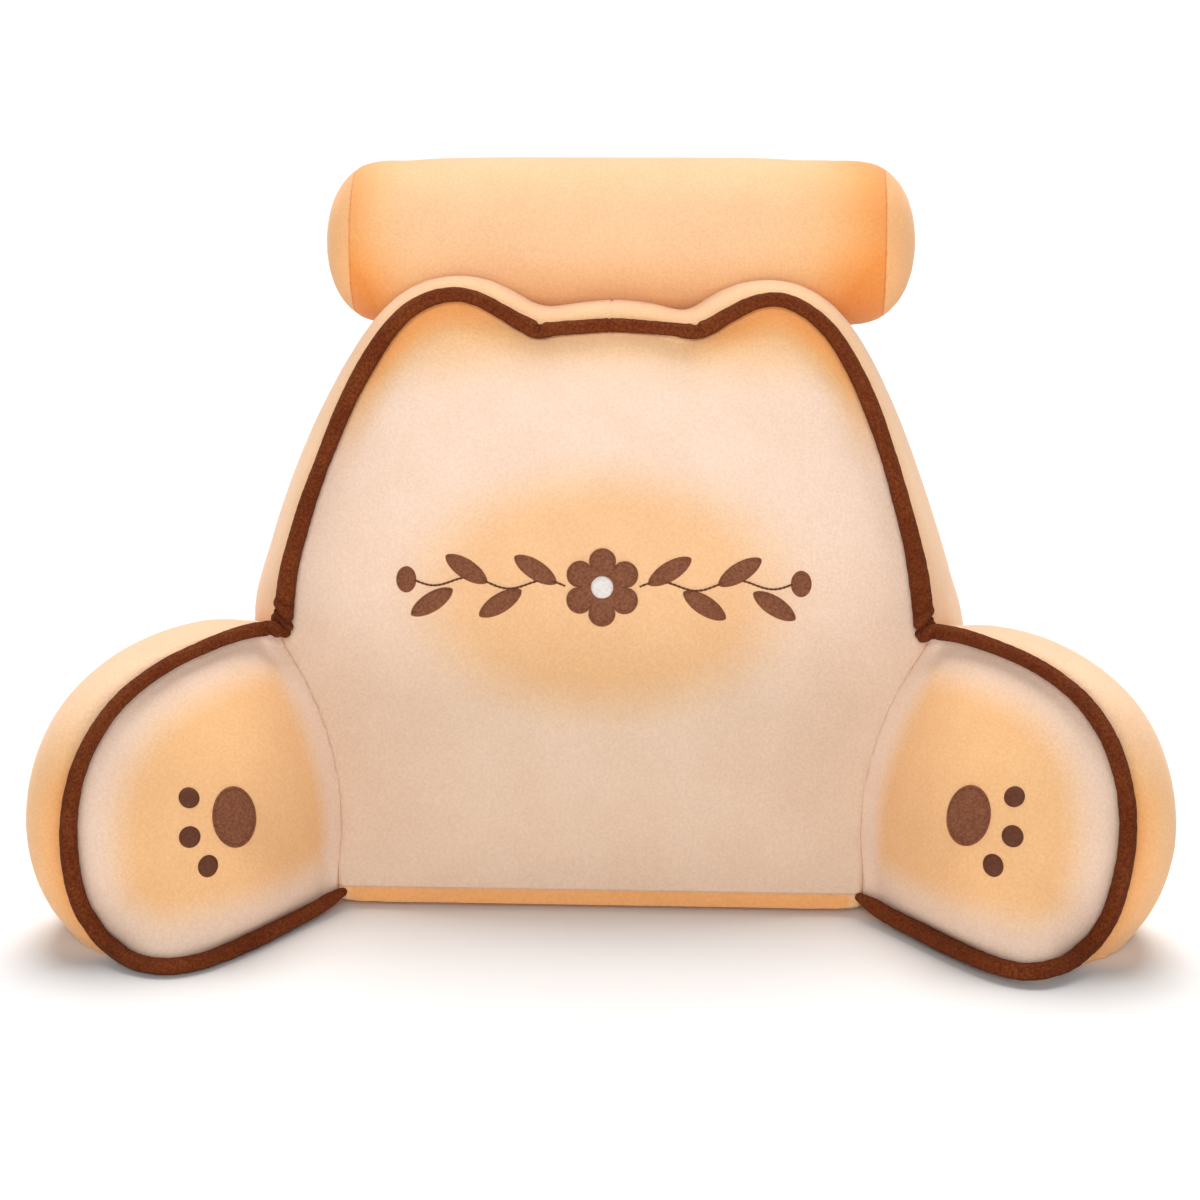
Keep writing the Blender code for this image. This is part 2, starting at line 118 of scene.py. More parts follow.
camera_data = bpy.data.cameras.new("picture_camera")
camera_data.sensor_width = 36
camera_data.lens = CAMERA_LENS
camera = added("picture_camera", camera_data)
gaze = Vector((-math.sin(CAMERA_TURN) * math.cos(CAMERA_TILT),
               math.cos(CAMERA_TURN) * math.cos(CAMERA_TILT),
               -math.sin(CAMERA_TILT)))
camera.location = CAMERA_PLACE
camera.rotation_euler = gaze.to_track_quat("-Z", "Y").to_euler()
scene.camera = camera
print("camera at", tuple(round(value, 3) for value in CAMERA_PLACE))

# %% [markdown]
# ## Floor and light
#
# A white seamless floor under a soft dome gives the even light of a product picture. A sun lamp with a wide
# angle acts as a soft panel that stands infinitely far away, so it lights an endless floor evenly where an
# area lamp would leave a bright pool. The one above and behind whitens the floor and the tops and leaves a
# short soft shadow in front, and a weaker one fills the front, so low that the floor under the hem stays
# dark. A wide spot with a soft rim is aimed at the ears, so the front grows a little darker towards the
# floor. Hard lamps draw edges that plush never shows.

# %% Floor and light
FLOOR_HALF = 14.0
DOME_STRENGTH = 0.25
PANELS = {  # turn from the front, height and spread in degrees, and strength
    "panel_behind": (180, 64, 42, 3.0),
    "panel_front": (0, 16, 50, 1.30),
}
SPOT_PLACE, SPOT_TARGET = Vector((0.0, -2.2, 1.6)), Vector((0.0, 0.0, 0.50))
SPOT_CONE = math.radians(29)
SPOT_WATTS = 57.0
SPOT_RADIUS = 0.35


def linear(colour):
    """An sRGB hex colour as the linear RGBA that shader sockets hold."""
    parts = [int(colour[i:i + 2], 16) / 255 for i in (0, 2, 4)]
    return (*[c / 12.92 if c <= 0.04045 else ((c + 0.055) / 1.055) ** 2.4 for c in parts], 1.0)


def lamp(name, kind, strength, toward):
    """A new lamp that shines back along the way toward it, and its light."""
    light = bpy.data.lights.new(name, kind)
    light.energy = strength
    made = added(name, light)
    made.rotation_euler = toward.to_track_quat("Z", "Y").to_euler()
    return made, light


world = bpy.data.worlds.new("studio_dome")
world.use_nodes = True
dome = world.node_tree.nodes["Background"]
dome.inputs["Color"].default_value = linear("FFFFFF")
dome.inputs["Strength"].default_value = DOME_STRENGTH
scene.world = world
scene.view_settings.view_transform = "Standard"
for name, (turn, height, spread, strength) in PANELS.items():
    toward = Vector((0, -math.cos(math.radians(height)), math.sin(math.radians(height))))
    toward.rotate(Matrix.Rotation(math.radians(turn), 3, "Z"))
    lamp(name, "SUN", strength, toward)[1].angle = math.radians(spread)
ear_spot, light = lamp("ear_spot", "SPOT", SPOT_WATTS, SPOT_PLACE - SPOT_TARGET)
ear_spot.location = SPOT_PLACE
light.spot_size = SPOT_CONE
light.spot_blend = 1.0
light.shadow_soft_size = SPOT_RADIUS

# %% The floor's sheet
floor_shape = bmesh.new()
bmesh.ops.create_grid(floor_shape, x_segments=1, y_segments=1, size=FLOOR_HALF)
floor = added("floor", closed(floor_shape, bpy.data.meshes.new("floor")))
paper = bpy.data.materials.new("white_paper")
paper.use_nodes = True
paper_shader = paper.node_tree.nodes["Principled BSDF"]
paper_shader.inputs["Base Color"].default_value = linear("F8F8F8")
paper_shader.inputs["Roughness"].default_value = 0.9
floor.data.materials.append(paper)
floor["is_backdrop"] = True
print("floor:", 2 * FLOOR_HALF, "m square")

# %% [markdown]
# ## Pile: a group that more than one cloth uses
#
# Velvety plush is a dense field of short fibres. From a step away it reads as fine flecks, where tufts lean
# apart, over broad soft patches, where the whole nap leans one way. Real fibres would be millions of hairs,
# so a node group adds both to a colour, and gives a height for bump. Each cloth sets its own fleck
# strength.

# %% Pile group
def grain(tree, place, scale, detail, low, high):
    """Noise of a given scale, stretched so that low to high becomes 0 to 1."""
    texture = tree.nodes.new("ShaderNodeTexNoise")
    texture.inputs["Scale"].default_value = scale
    texture.inputs["Detail"].default_value = detail
    tree.links.new(place, texture.inputs["Vector"])
    spread = tree.nodes.new("ShaderNodeMapRange")
    spread.inputs["From Min"].default_value = low
    spread.inputs["From Max"].default_value = high
    tree.links.new(texture.outputs["Fac"], spread.inputs["Value"])
    return spread.outputs["Result"]


def toned(tree, colour, mask, strength, tone):
    """Lay a tone over a colour where the mask is high."""
    share = tree.nodes.new("ShaderNodeMath")
    share.operation = "MULTIPLY"
    tree.links.new(mask, share.inputs[0])
    if isinstance(strength, float):
        share.inputs[1].default_value = strength
    else:
        tree.links.new(strength, share.inputs[1])
    mix = tree.nodes.new("ShaderNodeMix")
    mix.data_type = "RGBA"
    mix.blend_type = "MULTIPLY"
    tree.links.new(share.outputs[0], mix.inputs["Factor"])
    tree.links.new(colour, mix.inputs[6])
    mix.inputs[7].default_value = linear(tone)
    return mix.outputs[2]


FLECK_SCALE = 520.0  # tufts about two millimetres apart
FIBRE_SCALE = 1500.0
NAP_SCALE = 22.0
FIBRE_HEIGHT = 0.35  # beside the tufts' height of 1

pile = bpy.data.node_groups.new("plush_pile", "ShaderNodeTree")
PILE_SOCKETS = (("Color", "INPUT", "Color"), ("Flecks", "INPUT", "Float"), ("Nap", "INPUT", "Float"),
                ("Color", "OUTPUT", "Color"), ("Height", "OUTPUT", "Float"))
for name, way, kind in PILE_SOCKETS:
    pile.interface.new_socket(name=name, in_out=way, socket_type="NodeSocket" + kind)
pile_in = pile.nodes.new("NodeGroupInput")
pile_out = pile.nodes.new("NodeGroupOutput")
pile_place = pile.nodes.new("ShaderNodeTexCoord").outputs["Object"]
tufts = grain(pile, pile_place, FLECK_SCALE, 2.0, 0.34, 0.66)
fibres = grain(pile, pile_place, FIBRE_SCALE, 1.0, 0.30, 0.70)
nap = grain(pile, pile_place, NAP_SCALE, 3.0, 0.38, 0.62)
tinted = toned(pile, pile_in.outputs["Color"], tufts, pile_in.outputs["Flecks"], "B08A70")
tinted = toned(pile, tinted, nap, pile_in.outputs["Nap"], "D8B8A0")
both = pile.nodes.new("ShaderNodeMath")
both.operation = "MULTIPLY_ADD"
both.inputs[1].default_value = FIBRE_HEIGHT
pile.links.new(fibres, both.inputs[0])
pile.links.new(tufts, both.inputs[2])
pile.links.new(tinted, pile_out.inputs["Color"])
pile.links.new(both.outputs[0], pile_out.inputs["Height"])
print("group:", pile.name, "with", len(pile.nodes), "nodes")

# %% [markdown]
# ## Toasted plush
#
# The cover is one cream plush, sprayed with orange dye in soft-edged patches. Each cushion carries an
# attribute called toast, from 0 where the cloth is bare to 1 where the dye is deepest, and a colour ramp
# turns it into cloth colours; on the roll's underside toast is also raised, as painted shade and a painted
# warm reflection. Two more attributes hold painted shade: one beside the seams and pipings, and one on the
# lower front panel, the base strip and the roll's underside. Attributes are chosen over a picture because
# they have no resolution.

# %% Toasted plush
TOAST_STOPS = {0.0: "FADCC5", 0.3: "FAD2AC", 0.6: "F9C48D", 0.8: "FAB16D", 1.0: "F39B50"}
PLUSH_BUMP = 0.12 * MM


def principled(name, roughness, sheen, sheen_tint):
    """A new cloth material with its shader's plain settings."""
    finish = bpy.data.materials.new(name)
    finish.use_nodes = True
    shader = finish.node_tree.nodes["Principled BSDF"]
    shader.inputs["Roughness"].default_value = roughness
    shader.inputs["Specular IOR Level"].default_value = 0.15
    shader.inputs["Sheen Weight"].default_value = sheen
    shader.inputs["Sheen Roughness"].default_value = 0.45
    shader.inputs["Sheen Tint"].default_value = linear(sheen_tint)
    return finish, finish.node_tree, shader


def piled(tree, shader, colour, flecks, nap_share, depth):
    """Feed a colour through the pile group into a shader, with bump of the given depth."""
    group = tree.nodes.new("ShaderNodeGroup")
    group.node_tree = pile
    group.inputs["Flecks"].default_value = flecks
    group.inputs["Nap"].default_value = nap_share
    if isinstance(colour, str):
        group.inputs["Color"].default_value = linear(colour)
    else:
        tree.links.new(colour, group.inputs["Color"])
    bump = tree.nodes.new("ShaderNodeBump")
    bump.inputs["Strength"].default_value = 1.0
    bump.inputs["Distance"].default_value = depth
    tree.links.new(group.outputs["Height"], bump.inputs["Height"])
    tree.links.new(group.outputs["Color"], shader.inputs["Base Color"])
    tree.links.new(bump.outputs["Normal"], shader.inputs["Normal"])


def attribute(tree, name):
    """The value that a mesh attribute gives each point."""
    reader = tree.nodes.new("ShaderNodeAttribute")
    reader.attribute_name = name
    return reader.outputs["Fac"]


plush, plush_tree, plush_shader = principled("toasted_plush", 0.95, 0.30, "FFF0E4")
ramp = plush_tree.nodes.new("ShaderNodeValToRGB")
for _ in range(len(TOAST_STOPS) - 2):
    ramp.color_ramp.elements.new(0.5)
for stop, (level, colour) in zip(ramp.color_ramp.elements, TOAST_STOPS.items()):
    stop.position = level
    stop.color = linear(colour)
plush_tree.links.new(attribute(plush_tree, "toast"), ramp.inputs["Fac"])
# painted shade: beside seams and pipings the colour is darkened towards D98A5C
dyed_and_shaded = toned(plush_tree, ramp.outputs["Color"], attribute(plush_tree, "painted_shade"), 0.35, "D98A5C")
# painted shade: lower parts are darkened towards EAE9E4
dyed_and_shaded = toned(plush_tree, dyed_and_shaded, attribute(plush_tree, "painted_low_shade"), 1.0, "EAE9E4")
piled(plush_tree, plush_shader, dyed_and_shaded, 0.13, 0.08, PLUSH_BUMP)
print("material:", plush.name, "with", len(TOAST_STOPS), "toast levels")

# %% [markdown]
# ## Brown cloths
#
# The piping is the same pile in dark brown, with painted shade where it turns under and in the floors of its
# folds. The appliques are a flatter brushed felt with a rim of satin stitch in a darker thread, and the
# flower's eye is white felt.

# %% Brown cloths
brown_plush, tree, shader = principled("brown_plush", 0.92, 0.08, "C88C64")
brown = tree.nodes.new("ShaderNodeRGB").outputs[0]
brown.default_value = linear("80401C")
# painted shade: the brown is darkened towards 6A4634 where the piping turns away from its panel and in its
# fold floors
piled(tree, shader, toned(tree, brown, attribute(tree, "painted_shade"), 0.75, "6A4634"), 0.75, 0.50, 0.50 * MM)
brown_felt, tree, shader = principled("brown_felt", 0.92, 0.20, "C8A08A")
piled(tree, shader, "8E5B42", 0.55, 0.15, 0.20 * MM)
brown_thread, tree, shader = principled("brown_thread", 0.60, 0.10, "C8A08A")
piled(tree, shader, "6A3E2A", 0.40, 0.10, 0.15 * MM)
white_felt, tree, shader = principled("white_felt", 0.92, 0.20, "FFFFFF")
piled(tree, shader, "EDE8E2", 0.20, 0.10, 0.30 * MM)
print("materials:", ", ".join(cloth.name for cloth in (brown_plush, brown_felt, brown_thread, white_felt)))

# %% [markdown]
# ## Reading the frame
#
# Everything below is measured from the frame. A CAD mesh arrives as loose triangles, so a copy of it has
# its doubles merged first. A piping's middle line is read ring by ring: the sharp rim of one end cap is the
# first ring, and the points joined to a ring by an edge are the next one.

# %% Reading the frame
JOIN_DISTANCE = 0.001 * MM
CAP_ANGLE = math.radians(70)
PIPING_RADIUS = 6.2 * MM


def joined_copy(node):
    """A CAD node as a bmesh, with its loose triangles joined."""
    shape = opened(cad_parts[node].data)
    bmesh.ops.remove_doubles(shape, verts=shape.verts, dist=JOIN_DISTANCE)
    return shape


def tube_line(node, toward):
    """The middle line of a CAD tube, from the end that lies furthest the given way."""
    shape = joined_copy(node)
    rims = {vert for edge in shape.edges if edge.calc_face_angle(0) > CAP_ANGLE for vert in edge.verts}
    first = max(rims, key=lambda vert: vert.co.dot(Vector(toward)))
    ring = {vert for vert in rims if (vert.co - first.co).length < 3 * PIPING_RADIUS}
    seen, line = set(), []
    while ring:
        line.append(sum((vert.co for vert in ring), Vector()) / len(ring))
        seen |= ring
        ring = {edge.other_vert(vert) for vert in ring for edge in vert.link_edges} - seen
    shape.free()
    return line


def evened(points, step):
    """A smooth curve through the points, with a new point at every step, as an array."""
    dense = []
    last = len(points) - 1
    for i in range(last):
        before, start = points[max(i - 1, 0)], points[i]
        end, after = points[i + 1], points[min(i + 2, last)]
        for t in (0, 0.2, 0.4, 0.6, 0.8):
            dense.append(0.5 * (2 * start + (end - before) * t
                                + (2 * before - 5 * start + 4 * end - after) * t * t
                                + (3 * start - before - 3 * end + after) * t ** 3))
    dense = np.array([*dense, points[-1]])
    run = np.concatenate([[0], np.cumsum(np.linalg.norm(np.diff(dense, axis=0), axis=1))])
    places = np.linspace(0, run[-1], max(2, round(run[-1] / step) + 1))
    return np.stack([np.interp(places, run, dense[:, axis]) for axis in range(3)], axis=1)


LINE_STEP = 2.0 * MM
TUBES = {"back": ("piping_back", (-1, 0, 0)), "left": ("piping_arm_left", (0, 0, 1)),
         "right": ("piping_arm_right", (0, 0, 1))}
drawn_lines = {label: evened(tube_line(*tube_node), LINE_STEP) for label, tube_node in TUBES.items()}
for name, line in drawn_lines.items():
    print("piping line", name, "is", round(len(line) * LINE_STEP, 3), "m long")

# %% [markdown]
# ## Easing the seams
#
# A seam on a stuffed toy never lies just where its pattern drew it, because the cloth is eased in here and
# stretched there, and the piping is full in one place and flattened in another. Remaking the CAD for a few
# millimetres would be slow, so two short tables per piping hold it: how far out the seam lies and how thick
# the piping is, at shares of its length. The cushions follow their seams, less so further away. A paw pad
# lies flat on each arm's panel, so the pad's own plane gives that panel's across, up and outward ways.

# %% Points and plates
def coordinates(mesh, kind="co"):
    """The places or normals of a mesh's points, as an array."""
    values = np.empty(len(mesh.vertices) * 3, np.float32)
    mesh.vertices.foreach_get(kind, values)
    return values.reshape(-1, 3).astype(float)


def place(mesh, points):
    """Move a mesh's points."""
    mesh.vertices.foreach_set("co", points.astype(np.float32).ravel())
    mesh.update()


def nearest_on(points, line):
    """For each point, its distance from a line and the index of the line's nearest point."""
    tree = KDTree(len(line))
    for index, spot in enumerate(line):
        tree.insert(spot, index)
    tree.balance()
    found = [tree.find(point) for point in points]
    return np.array([hit[2] for hit in found]), np.array([hit[1] for hit in found])


def plate(node):
    """Middle, across, up and outward ways of a thin CAD plate that faces the front."""
    points = coordinates(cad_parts[node].data)
    middle = (points.min(axis=0) + points.max(axis=0)) / 2
    out = np.linalg.svd(points - points.mean(axis=0), full_matrices=False)[2][2]
    out = Vector(out if out[1] < 0 else -out)
    across = Vector((-out.y, out.x, 0)).normalized()
    return Vector(middle), across, out.cross(across).normalized(), out


pads = {label: plate(f"paw_{label}_pad") for label in SIDES}
for label, (middle, across, up, out) in pads.items():
    print(label, "arm's panel faces", tuple(round(value, 2) for value in out), "up", round(up.z, 2))

# %% Easing the seams
PANEL_LEAN = math.radians(15)
PANEL_OUT = np.array((0, -math.cos(PANEL_LEAN), math.sin(PANEL_LEAN)))
PULLED = {  # millimetres outward, in the panel's plane
    "back": {0: 0.8, 0.045: 2.3, 0.075: 1.8, 0.11: 2.3, 0.165: 0.6, 0.21: 1.5, 0.26: 2.2, 0.31: 3.2,
        0.345: 1.0, 0.39: 1.9, 0.407: 3.0, 0.425: 0.2, 0.45: 1.6, 0.5: 1.8, 0.56: 2.2, 0.575: 0.2,
        0.59: -0.5, 0.65: -0.8, 0.72: 0.0, 0.77: -0.4, 0.83: -1.7, 0.9: -1.2, 1: -1.2},
    "left": {0: 0.0, 0.05: -1.4, 0.11: -2.6, 0.18: -1.6, 0.25: 0.0, 0.34: 1.7, 0.42: 1.3, 0.5: 0.0,
        0.555: -1.2, 0.6: 0.5, 0.65: 2.4, 0.7: 3.0, 0.8: 2.0, 0.9: 1.2, 1: 1.0},
    "right": {0: 2.8, 0.05: 1.8, 0.1: 1.6, 0.16: 2.8, 0.23: 4.1, 0.3: 3.0, 0.36: 0.0, 0.43: -4.2,
        0.5: -8.4, 0.54: -9.6, 0.59: -7.8, 0.65: -3.8, 0.7: -0.6, 0.78: -1.2, 0.87: -1.8, 1: -1.0},
}
THICK = {  # shares of the piping's radius
    "back": {0: 1.3, 0.03: 1.12, 0.06: 1.05, 0.1: 1.02, 0.14: 0.92, 0.18: 0.98, 0.25: 1.06, 0.29: 0.97,
        0.33: 0.9, 0.36: 0.84, 0.4: 0.9, 0.43: 1.02, 0.45: 0.82, 0.5: 0.83, 0.56: 0.78, 0.58: 0.98,
        0.6: 0.94, 0.65: 0.82, 0.7: 0.9, 0.76: 0.95, 0.8: 1.03, 0.83: 0.94, 0.88: 1.02, 0.92: 1.08,
        0.95: 1.2, 1: 1.3},
    "left": {0: 0.9, 0.06: 0.84, 0.12: 0.8, 0.2: 0.84, 0.28: 0.88, 0.35: 0.94, 0.45: 1.03, 0.6: 1.01,
        0.65: 0.97, 0.75: 0.93, 0.85: 0.98, 0.93: 0.9, 1: 0.85},
    "right": {0: 0.94, 0.1: 0.85, 0.2: 0.87, 0.25: 0.96, 0.35: 0.98, 0.5: 1.03, 0.65: 0.99, 0.75: 1.0,
        0.85: 1.06, 0.93: 1.0, 1: 0.9},
}
WINDING = {"back": 1, "left": -1, "right": 1}
PULL_REACH = 55 * MM  # how far from its seam a cushion still follows it
TABLE_ROUNDS = 6  # how often a table's values are evened out along a line


def table_along(table, line):
    """A table's values at the points of a line, a little softened."""
    values = np.interp(np.linspace(0, 1, len(line)), list(table), list(table.values()))
    for _ in range(TABLE_ROUNDS):
        values[1:-1] = 0.5 * values[1:-1] + 0.25 * (values[:-2] + values[2:])
    return values


lines, radii, pulls = {}, {}, {}
for label, line in drawn_lines.items():
    facing = np.array(pads[label][3]) if label in pads else PANEL_OUT
    outward = WINDING[label] * np.cross(facing, np.gradient(line, axis=0))
    outward /= np.linalg.norm(outward, axis=1, keepdims=True)
    pulls[label] = outward * table_along(PULLED[label], line)[:, None] * MM
    lines[label] = line + pulls[label]
    radii[label] = PIPING_RADIUS * table_along(THICK[label], line)
    print(label, "piping is", [round(2 * size / MM, 1) for size in (radii[label].min(), radii[label].max())],
          "mm thick at least and at most")


def pulled(piece, label):
    """Let a cushion's cloth follow its seam."""
    points = coordinates(piece.data)
    gap, index = nearest_on(points, drawn_lines[label])
    moved = points + pulls[label][index] * np.exp(-(gap / PULL_REACH) ** 2)[:, None]
    moved[:, 2] = np.where(points[:, 2] < MM, points[:, 2], np.maximum(moved[:, 2], 0))
    place(piece.data, moved)


# %% [markdown]
# ## Filling a cushion
#
# A cushion can be a smoothed box, but cloth that is really blown up against its own seams wrinkles and
# swells the way stuffed plush does. So each CAD cushion is copied and remeshed to even squares, drawn in a
# little, and inflated by Blender's cloth with pressure and no gravity. Its seams, its flat foot and the
# places where it meets a neighbour are pinned, and no point may be blown further than a few millimetres.

# %% Filling a cushion
CLOTH_FRAMES = 20
PRESSURE = 4.0
EASE = -0.006  # below zero, so the cloth is cut larger than the space it fills
DRAWN_IN = 1.5 * MM
MOST_MOVE = 5.0 * MM  # the most that the filling may move a point
SWELL_ROUNDS = 14  # how often the swelling is evened out, so that the plush stays taut
SHAPE_ROUNDS = 4


def evaluated(piece):
    """A new mesh of a piece with its modifiers applied."""
    graph = bpy.context.evaluated_depsgraph_get()
    return bpy.data.meshes.new_from_object(piece.evaluated_get(graph))


def remeshed(node, name, voxel):
    """A new piece with the shape of a CAD node, in even squares."""
    piece = added(name, closed(joined_copy(node), bpy.data.meshes.new(name)))
    squares = piece.modifiers.new("squares", "REMESH")
    squares.mode = "VOXEL"
    squares.voxel_size = voxel
    piece.data = evaluated(piece)
    piece.modifiers.remove(squares)
    piece.data.name = name
    return piece


def inflated(piece, pins):
    """Where the points of a pinned cloth come to rest under pressure."""
    group = piece.vertex_groups.new(name="pins")
    for level in np.unique(np.round(pins, 1)):
        group.add(np.flatnonzero(np.round(pins, 1) == level).tolist(), float(level), "REPLACE")
    filling = piece.modifiers.new("filling", "CLOTH")
    filling.settings.quality = 4
    filling.settings.use_pressure = True
    filling.settings.uniform_pressure_force = PRESSURE
    filling.settings.shrink_min = EASE
    filling.settings.vertex_group_mass = "pins"
    filling.settings.effector_weights.gravity = 0
    filling.point_cache.frame_start = 1
    filling.point_cache.frame_end = CLOTH_FRAMES
    for step in range(1, CLOTH_FRAMES + 1):
        scene.frame_set(step)
    mesh = evaluated(piece)
    points = coordinates(mesh)
    bpy.data.meshes.remove(mesh)
    piece.modifiers.remove(filling)
    piece.vertex_groups.remove(group)
    scene.frame_set(1)
    return points


def evened_out(mesh, values, rounds):
    """Move each point's value half-way to the mean of its neighbours, a number of times."""
    ends = np.empty(len(mesh.edges) * 2, np.int32)
    mesh.edges.foreach_get("vertices", ends)
    one, other = ends.reshape(-1, 2).T
    size = len(mesh.vertices)
    joined = np.bincount(ends, minlength=size)
    for _ in range(rounds):
        means = [(np.bincount(one, column[other], size) + np.bincount(other, column[one], size)) / joined
                 for column in values.T]
        values = 0.5 * (values + np.stack(means, axis=1))
    return values


def filled(piece, pins):
    """Fill a remeshed cushion by pressure, with its pinned points left where the frame has them."""
    whole = coordinates(piece.data)
    free = (1 - pins)[:, None]
    swell = np.zeros_like(whole)
    place(piece.data, whole - coordinates(piece.data, "normal") * DRAWN_IN * free)
    swell = inflated(piece, pins) - whole
    swell = evened_out(piece.data, swell, SWELL_ROUNDS) * free
    reach = np.linalg.norm(swell, axis=1, keepdims=True)
    points = whole + swell * np.minimum(1, MOST_MOVE / np.maximum(reach, 1e-9))
    points += (evened_out(piece.data, points, SHAPE_ROUNDS) - points) * free
    points[:, 2] = np.where(whole[:, 2] < MM, whole[:, 2], np.maximum(points[:, 2], 0))
    place(piece.data, points)
    finer = piece.modifiers.new("finer", "SUBSURF")
    finer.levels = finer.render_levels = 1
    piece.data = evaluated(piece)
    piece.modifiers.remove(finer)
    print(piece.name, "swells by", round(float(reach.mean()) / MM, 2), "mm on average, at most",
          round(float(reach.max()) / MM, 2), "mm, and has", len(piece.data.polygons), "faces")


def smoothstep(values, low, high):
    """0 below low, 1 above high, and a soft rise between."""
    t = np.clip((values - low) / (high - low), 0, 1)
    return t * t * (3 - 2 * t)


def fade_in(values, low, high):
    """A smoothstep between two measures in millimetres."""
    return smoothstep(values, low * MM, high * MM)


def fade_out(values, low, high):
    """The same, from 1 down to 0."""
    return 1 - fade_in(values, low, high)


def surface(shape):
    """A search tree over the faces of a bmesh, which is freed."""
    tree = BVHTree.FromBMesh(shape)
    shape.free()
    return tree


def gaps_to(points, tree, reach):
    """How far each point lies from a surface, up to a reach."""
    found = [tree.find_nearest(point, reach) for point in points]
    return np.array([reach if hit[0] is None else hit[3] for hit in found])


def held(points, line, *neighbours):
    """1 at the piped seam, near the neighbours and on the floor, and soft edges down to 0."""
    piped = fade_out(nearest_on(points, line)[0], 8, 20)
    touching = [fade_out(gaps_to(points, tree, 20 * MM), 3, 16) for tree in neighbours]
    return np.max([piped, *touching, points[:, 2] < 2 * MM], axis=0)


print("cloth pressure", PRESSURE, "for", CLOTH_FRAMES, "frames, at most", MOST_MOVE / MM, "mm of movement")

# %% [markdown]
# ## Seams
#
# A sewn seam is a valley with a sharp floor. The remesh is too coarse for one, so it is cut in afterwards:
# a plane slices the cushion into three close edge loops, and the middle loop is drawn in. Under the piping
# the cloth is pressed to the shape of the tube, and beside it small ripples show where the cloth was eased
# in.

# %% Seam helpers
def faces_where(shape, keep):
    """The faces whose middles a test keeps, with their edges and points."""
    faces = [face for face in shape.faces if keep(face.calc_center_median())]
    edges = {edge for face in faces for edge in face.edges}
    verts = {vert for face in faces for vert in face.verts}
    return [*verts, *edges, *faces]


def creased(piece, spot, normal, width, depth, keep):
    """Draw in a sewn line, of a width and depth in mm, where a plane crosses the kept part of a cushion."""
    spot, normal = Vector(spot), Vector(normal).normalized()
    shape = opened(piece.data)
    for shift in (-width * MM, width * MM, 0.0):
        bmesh.ops.bisect_plane(shape, geom=faces_where(shape, keep), dist=0.02 * MM,
                               plane_co=spot + normal * shift, plane_no=normal)
    shape.normal_update()
    floor_points = [vert for vert in shape.verts
                    if abs((vert.co - spot).dot(normal)) < 0.03 * MM and keep(vert.co)]
    for vert, inward in [(vert, -vert.normal) for vert in floor_points]:
        vert.co += inward * depth * MM
    closed(shape, piece.data)
    print(piece.name, "has a seam with", len(floor_points), "points")


SEAT_SPAN = 9  # how many points on each side a way is smoothed over


def seat_ways(line, tree):
    """At each point of a piping's line, the smoothed way in which it is seated on its cushion."""
    ways = np.array([tree.find_nearest(point)[0] for point in line]) - line
    ways /= np.linalg.norm(ways, axis=1, keepdims=True)
    span = SEAT_SPAN
    padded = np.concatenate([np.repeat(ways[:1], span, 0), ways, np.repeat(ways[-1:], span, 0)])
    ways = np.array([padded[i:i + 2 * span + 1].mean(axis=0) for i in range(len(line))])
    return ways / np.linalg.norm(ways, axis=1, keepdims=True)


RIPPLE = 0.5 * MM
RIPPLE_LENGTH = 8 * MM
RIPPLE_FADE = 6 * MM


def seated(piece, label, tree, ripple_seed):
    """Press a piping's tube into a cushion, and ripple the cloth beside it."""
    line = lines[label]
    points = coordinates(piece.data)
    normals = coordinates(piece.data, "normal")
    gap, index = nearest_on(points, line)
    ways = seat_ways(line, tree)
    for i in np.flatnonzero(gap < 5 * PIPING_RADIUS):
        beside = max(gap[i] - PIPING_RADIUS, 0.0)
        side = 5.0 if normals[i] @ ways[index[i]] > 0 else 0.0
        wave = noise.noise(Vector((index[i] * LINE_STEP / RIPPLE_LENGTH, side, ripple_seed)))
        points[i] += normals[i] * RIPPLE * wave * math.exp(-beside / RIPPLE_FADE)
    for i in np.flatnonzero(gap < 1.6 * PIPING_RADIUS):
        away, way = points[i] - line[index[i]], ways[index[i]]
        deep = away @ way
        beside = away - deep * way
        room = radii[label][index[i]] ** 2 - beside @ beside
        if room > 0 and deep < math.sqrt(room):
            points[i] = line[index[i]] + beside + way * math.sqrt(room)
    place(piece.data, points)


def inside(flat, outline):
    """Which points of a plane lie inside a closed outline."""
    within = np.zeros(len(flat), bool)
    for (x1, y1), (x2, y2) in zip(outline, np.roll(outline, -1, axis=0)):
        if y1 != y2:
            crosses = (flat[:, 1] < y1) != (flat[:, 1] < y2)
            within ^= crosses & (flat[:, 0] < (x2 - x1) * (flat[:, 1] - y1) / (y2 - y1) + x1)
    return within


def written(piece, name, values):
    """Keep a value for each point of a piece, for its material to read."""
    made = piece.data.attributes.new(name, "FLOAT", "POINT")
    made.data.foreach_set("value", np.asarray(values, np.float32))


def finished(piece, finishes, slot, *nodes):
    """Give a piece its materials, smooth shading and body, and hide the nodes that it stands for; slot is
    not used.
    """
    piece.data.materials.clear()
    for finish in finishes if isinstance(finishes, tuple) else (finishes,):
        piece.data.materials.append(finish)
    piece.data.shade_smooth()
    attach(piece, BODY)
    if nodes:
        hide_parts(*nodes)


print("seams ripple by up to", RIPPLE / MM, "mm")

# %% [markdown]
# ## Backrest
#
# The backrest is one bag: a leaning front panel, boxing round the sides and over the ears, a rear panel and
# a tan base strip. Before it is filled, its sides are let out a little above the arms, its right side is
# trimmed higher up, and the boxing between the ears is raised and lowered by a small table. The strip is
# pulled forward to stand under the panel's edge, and its lower edge curls off the floor.

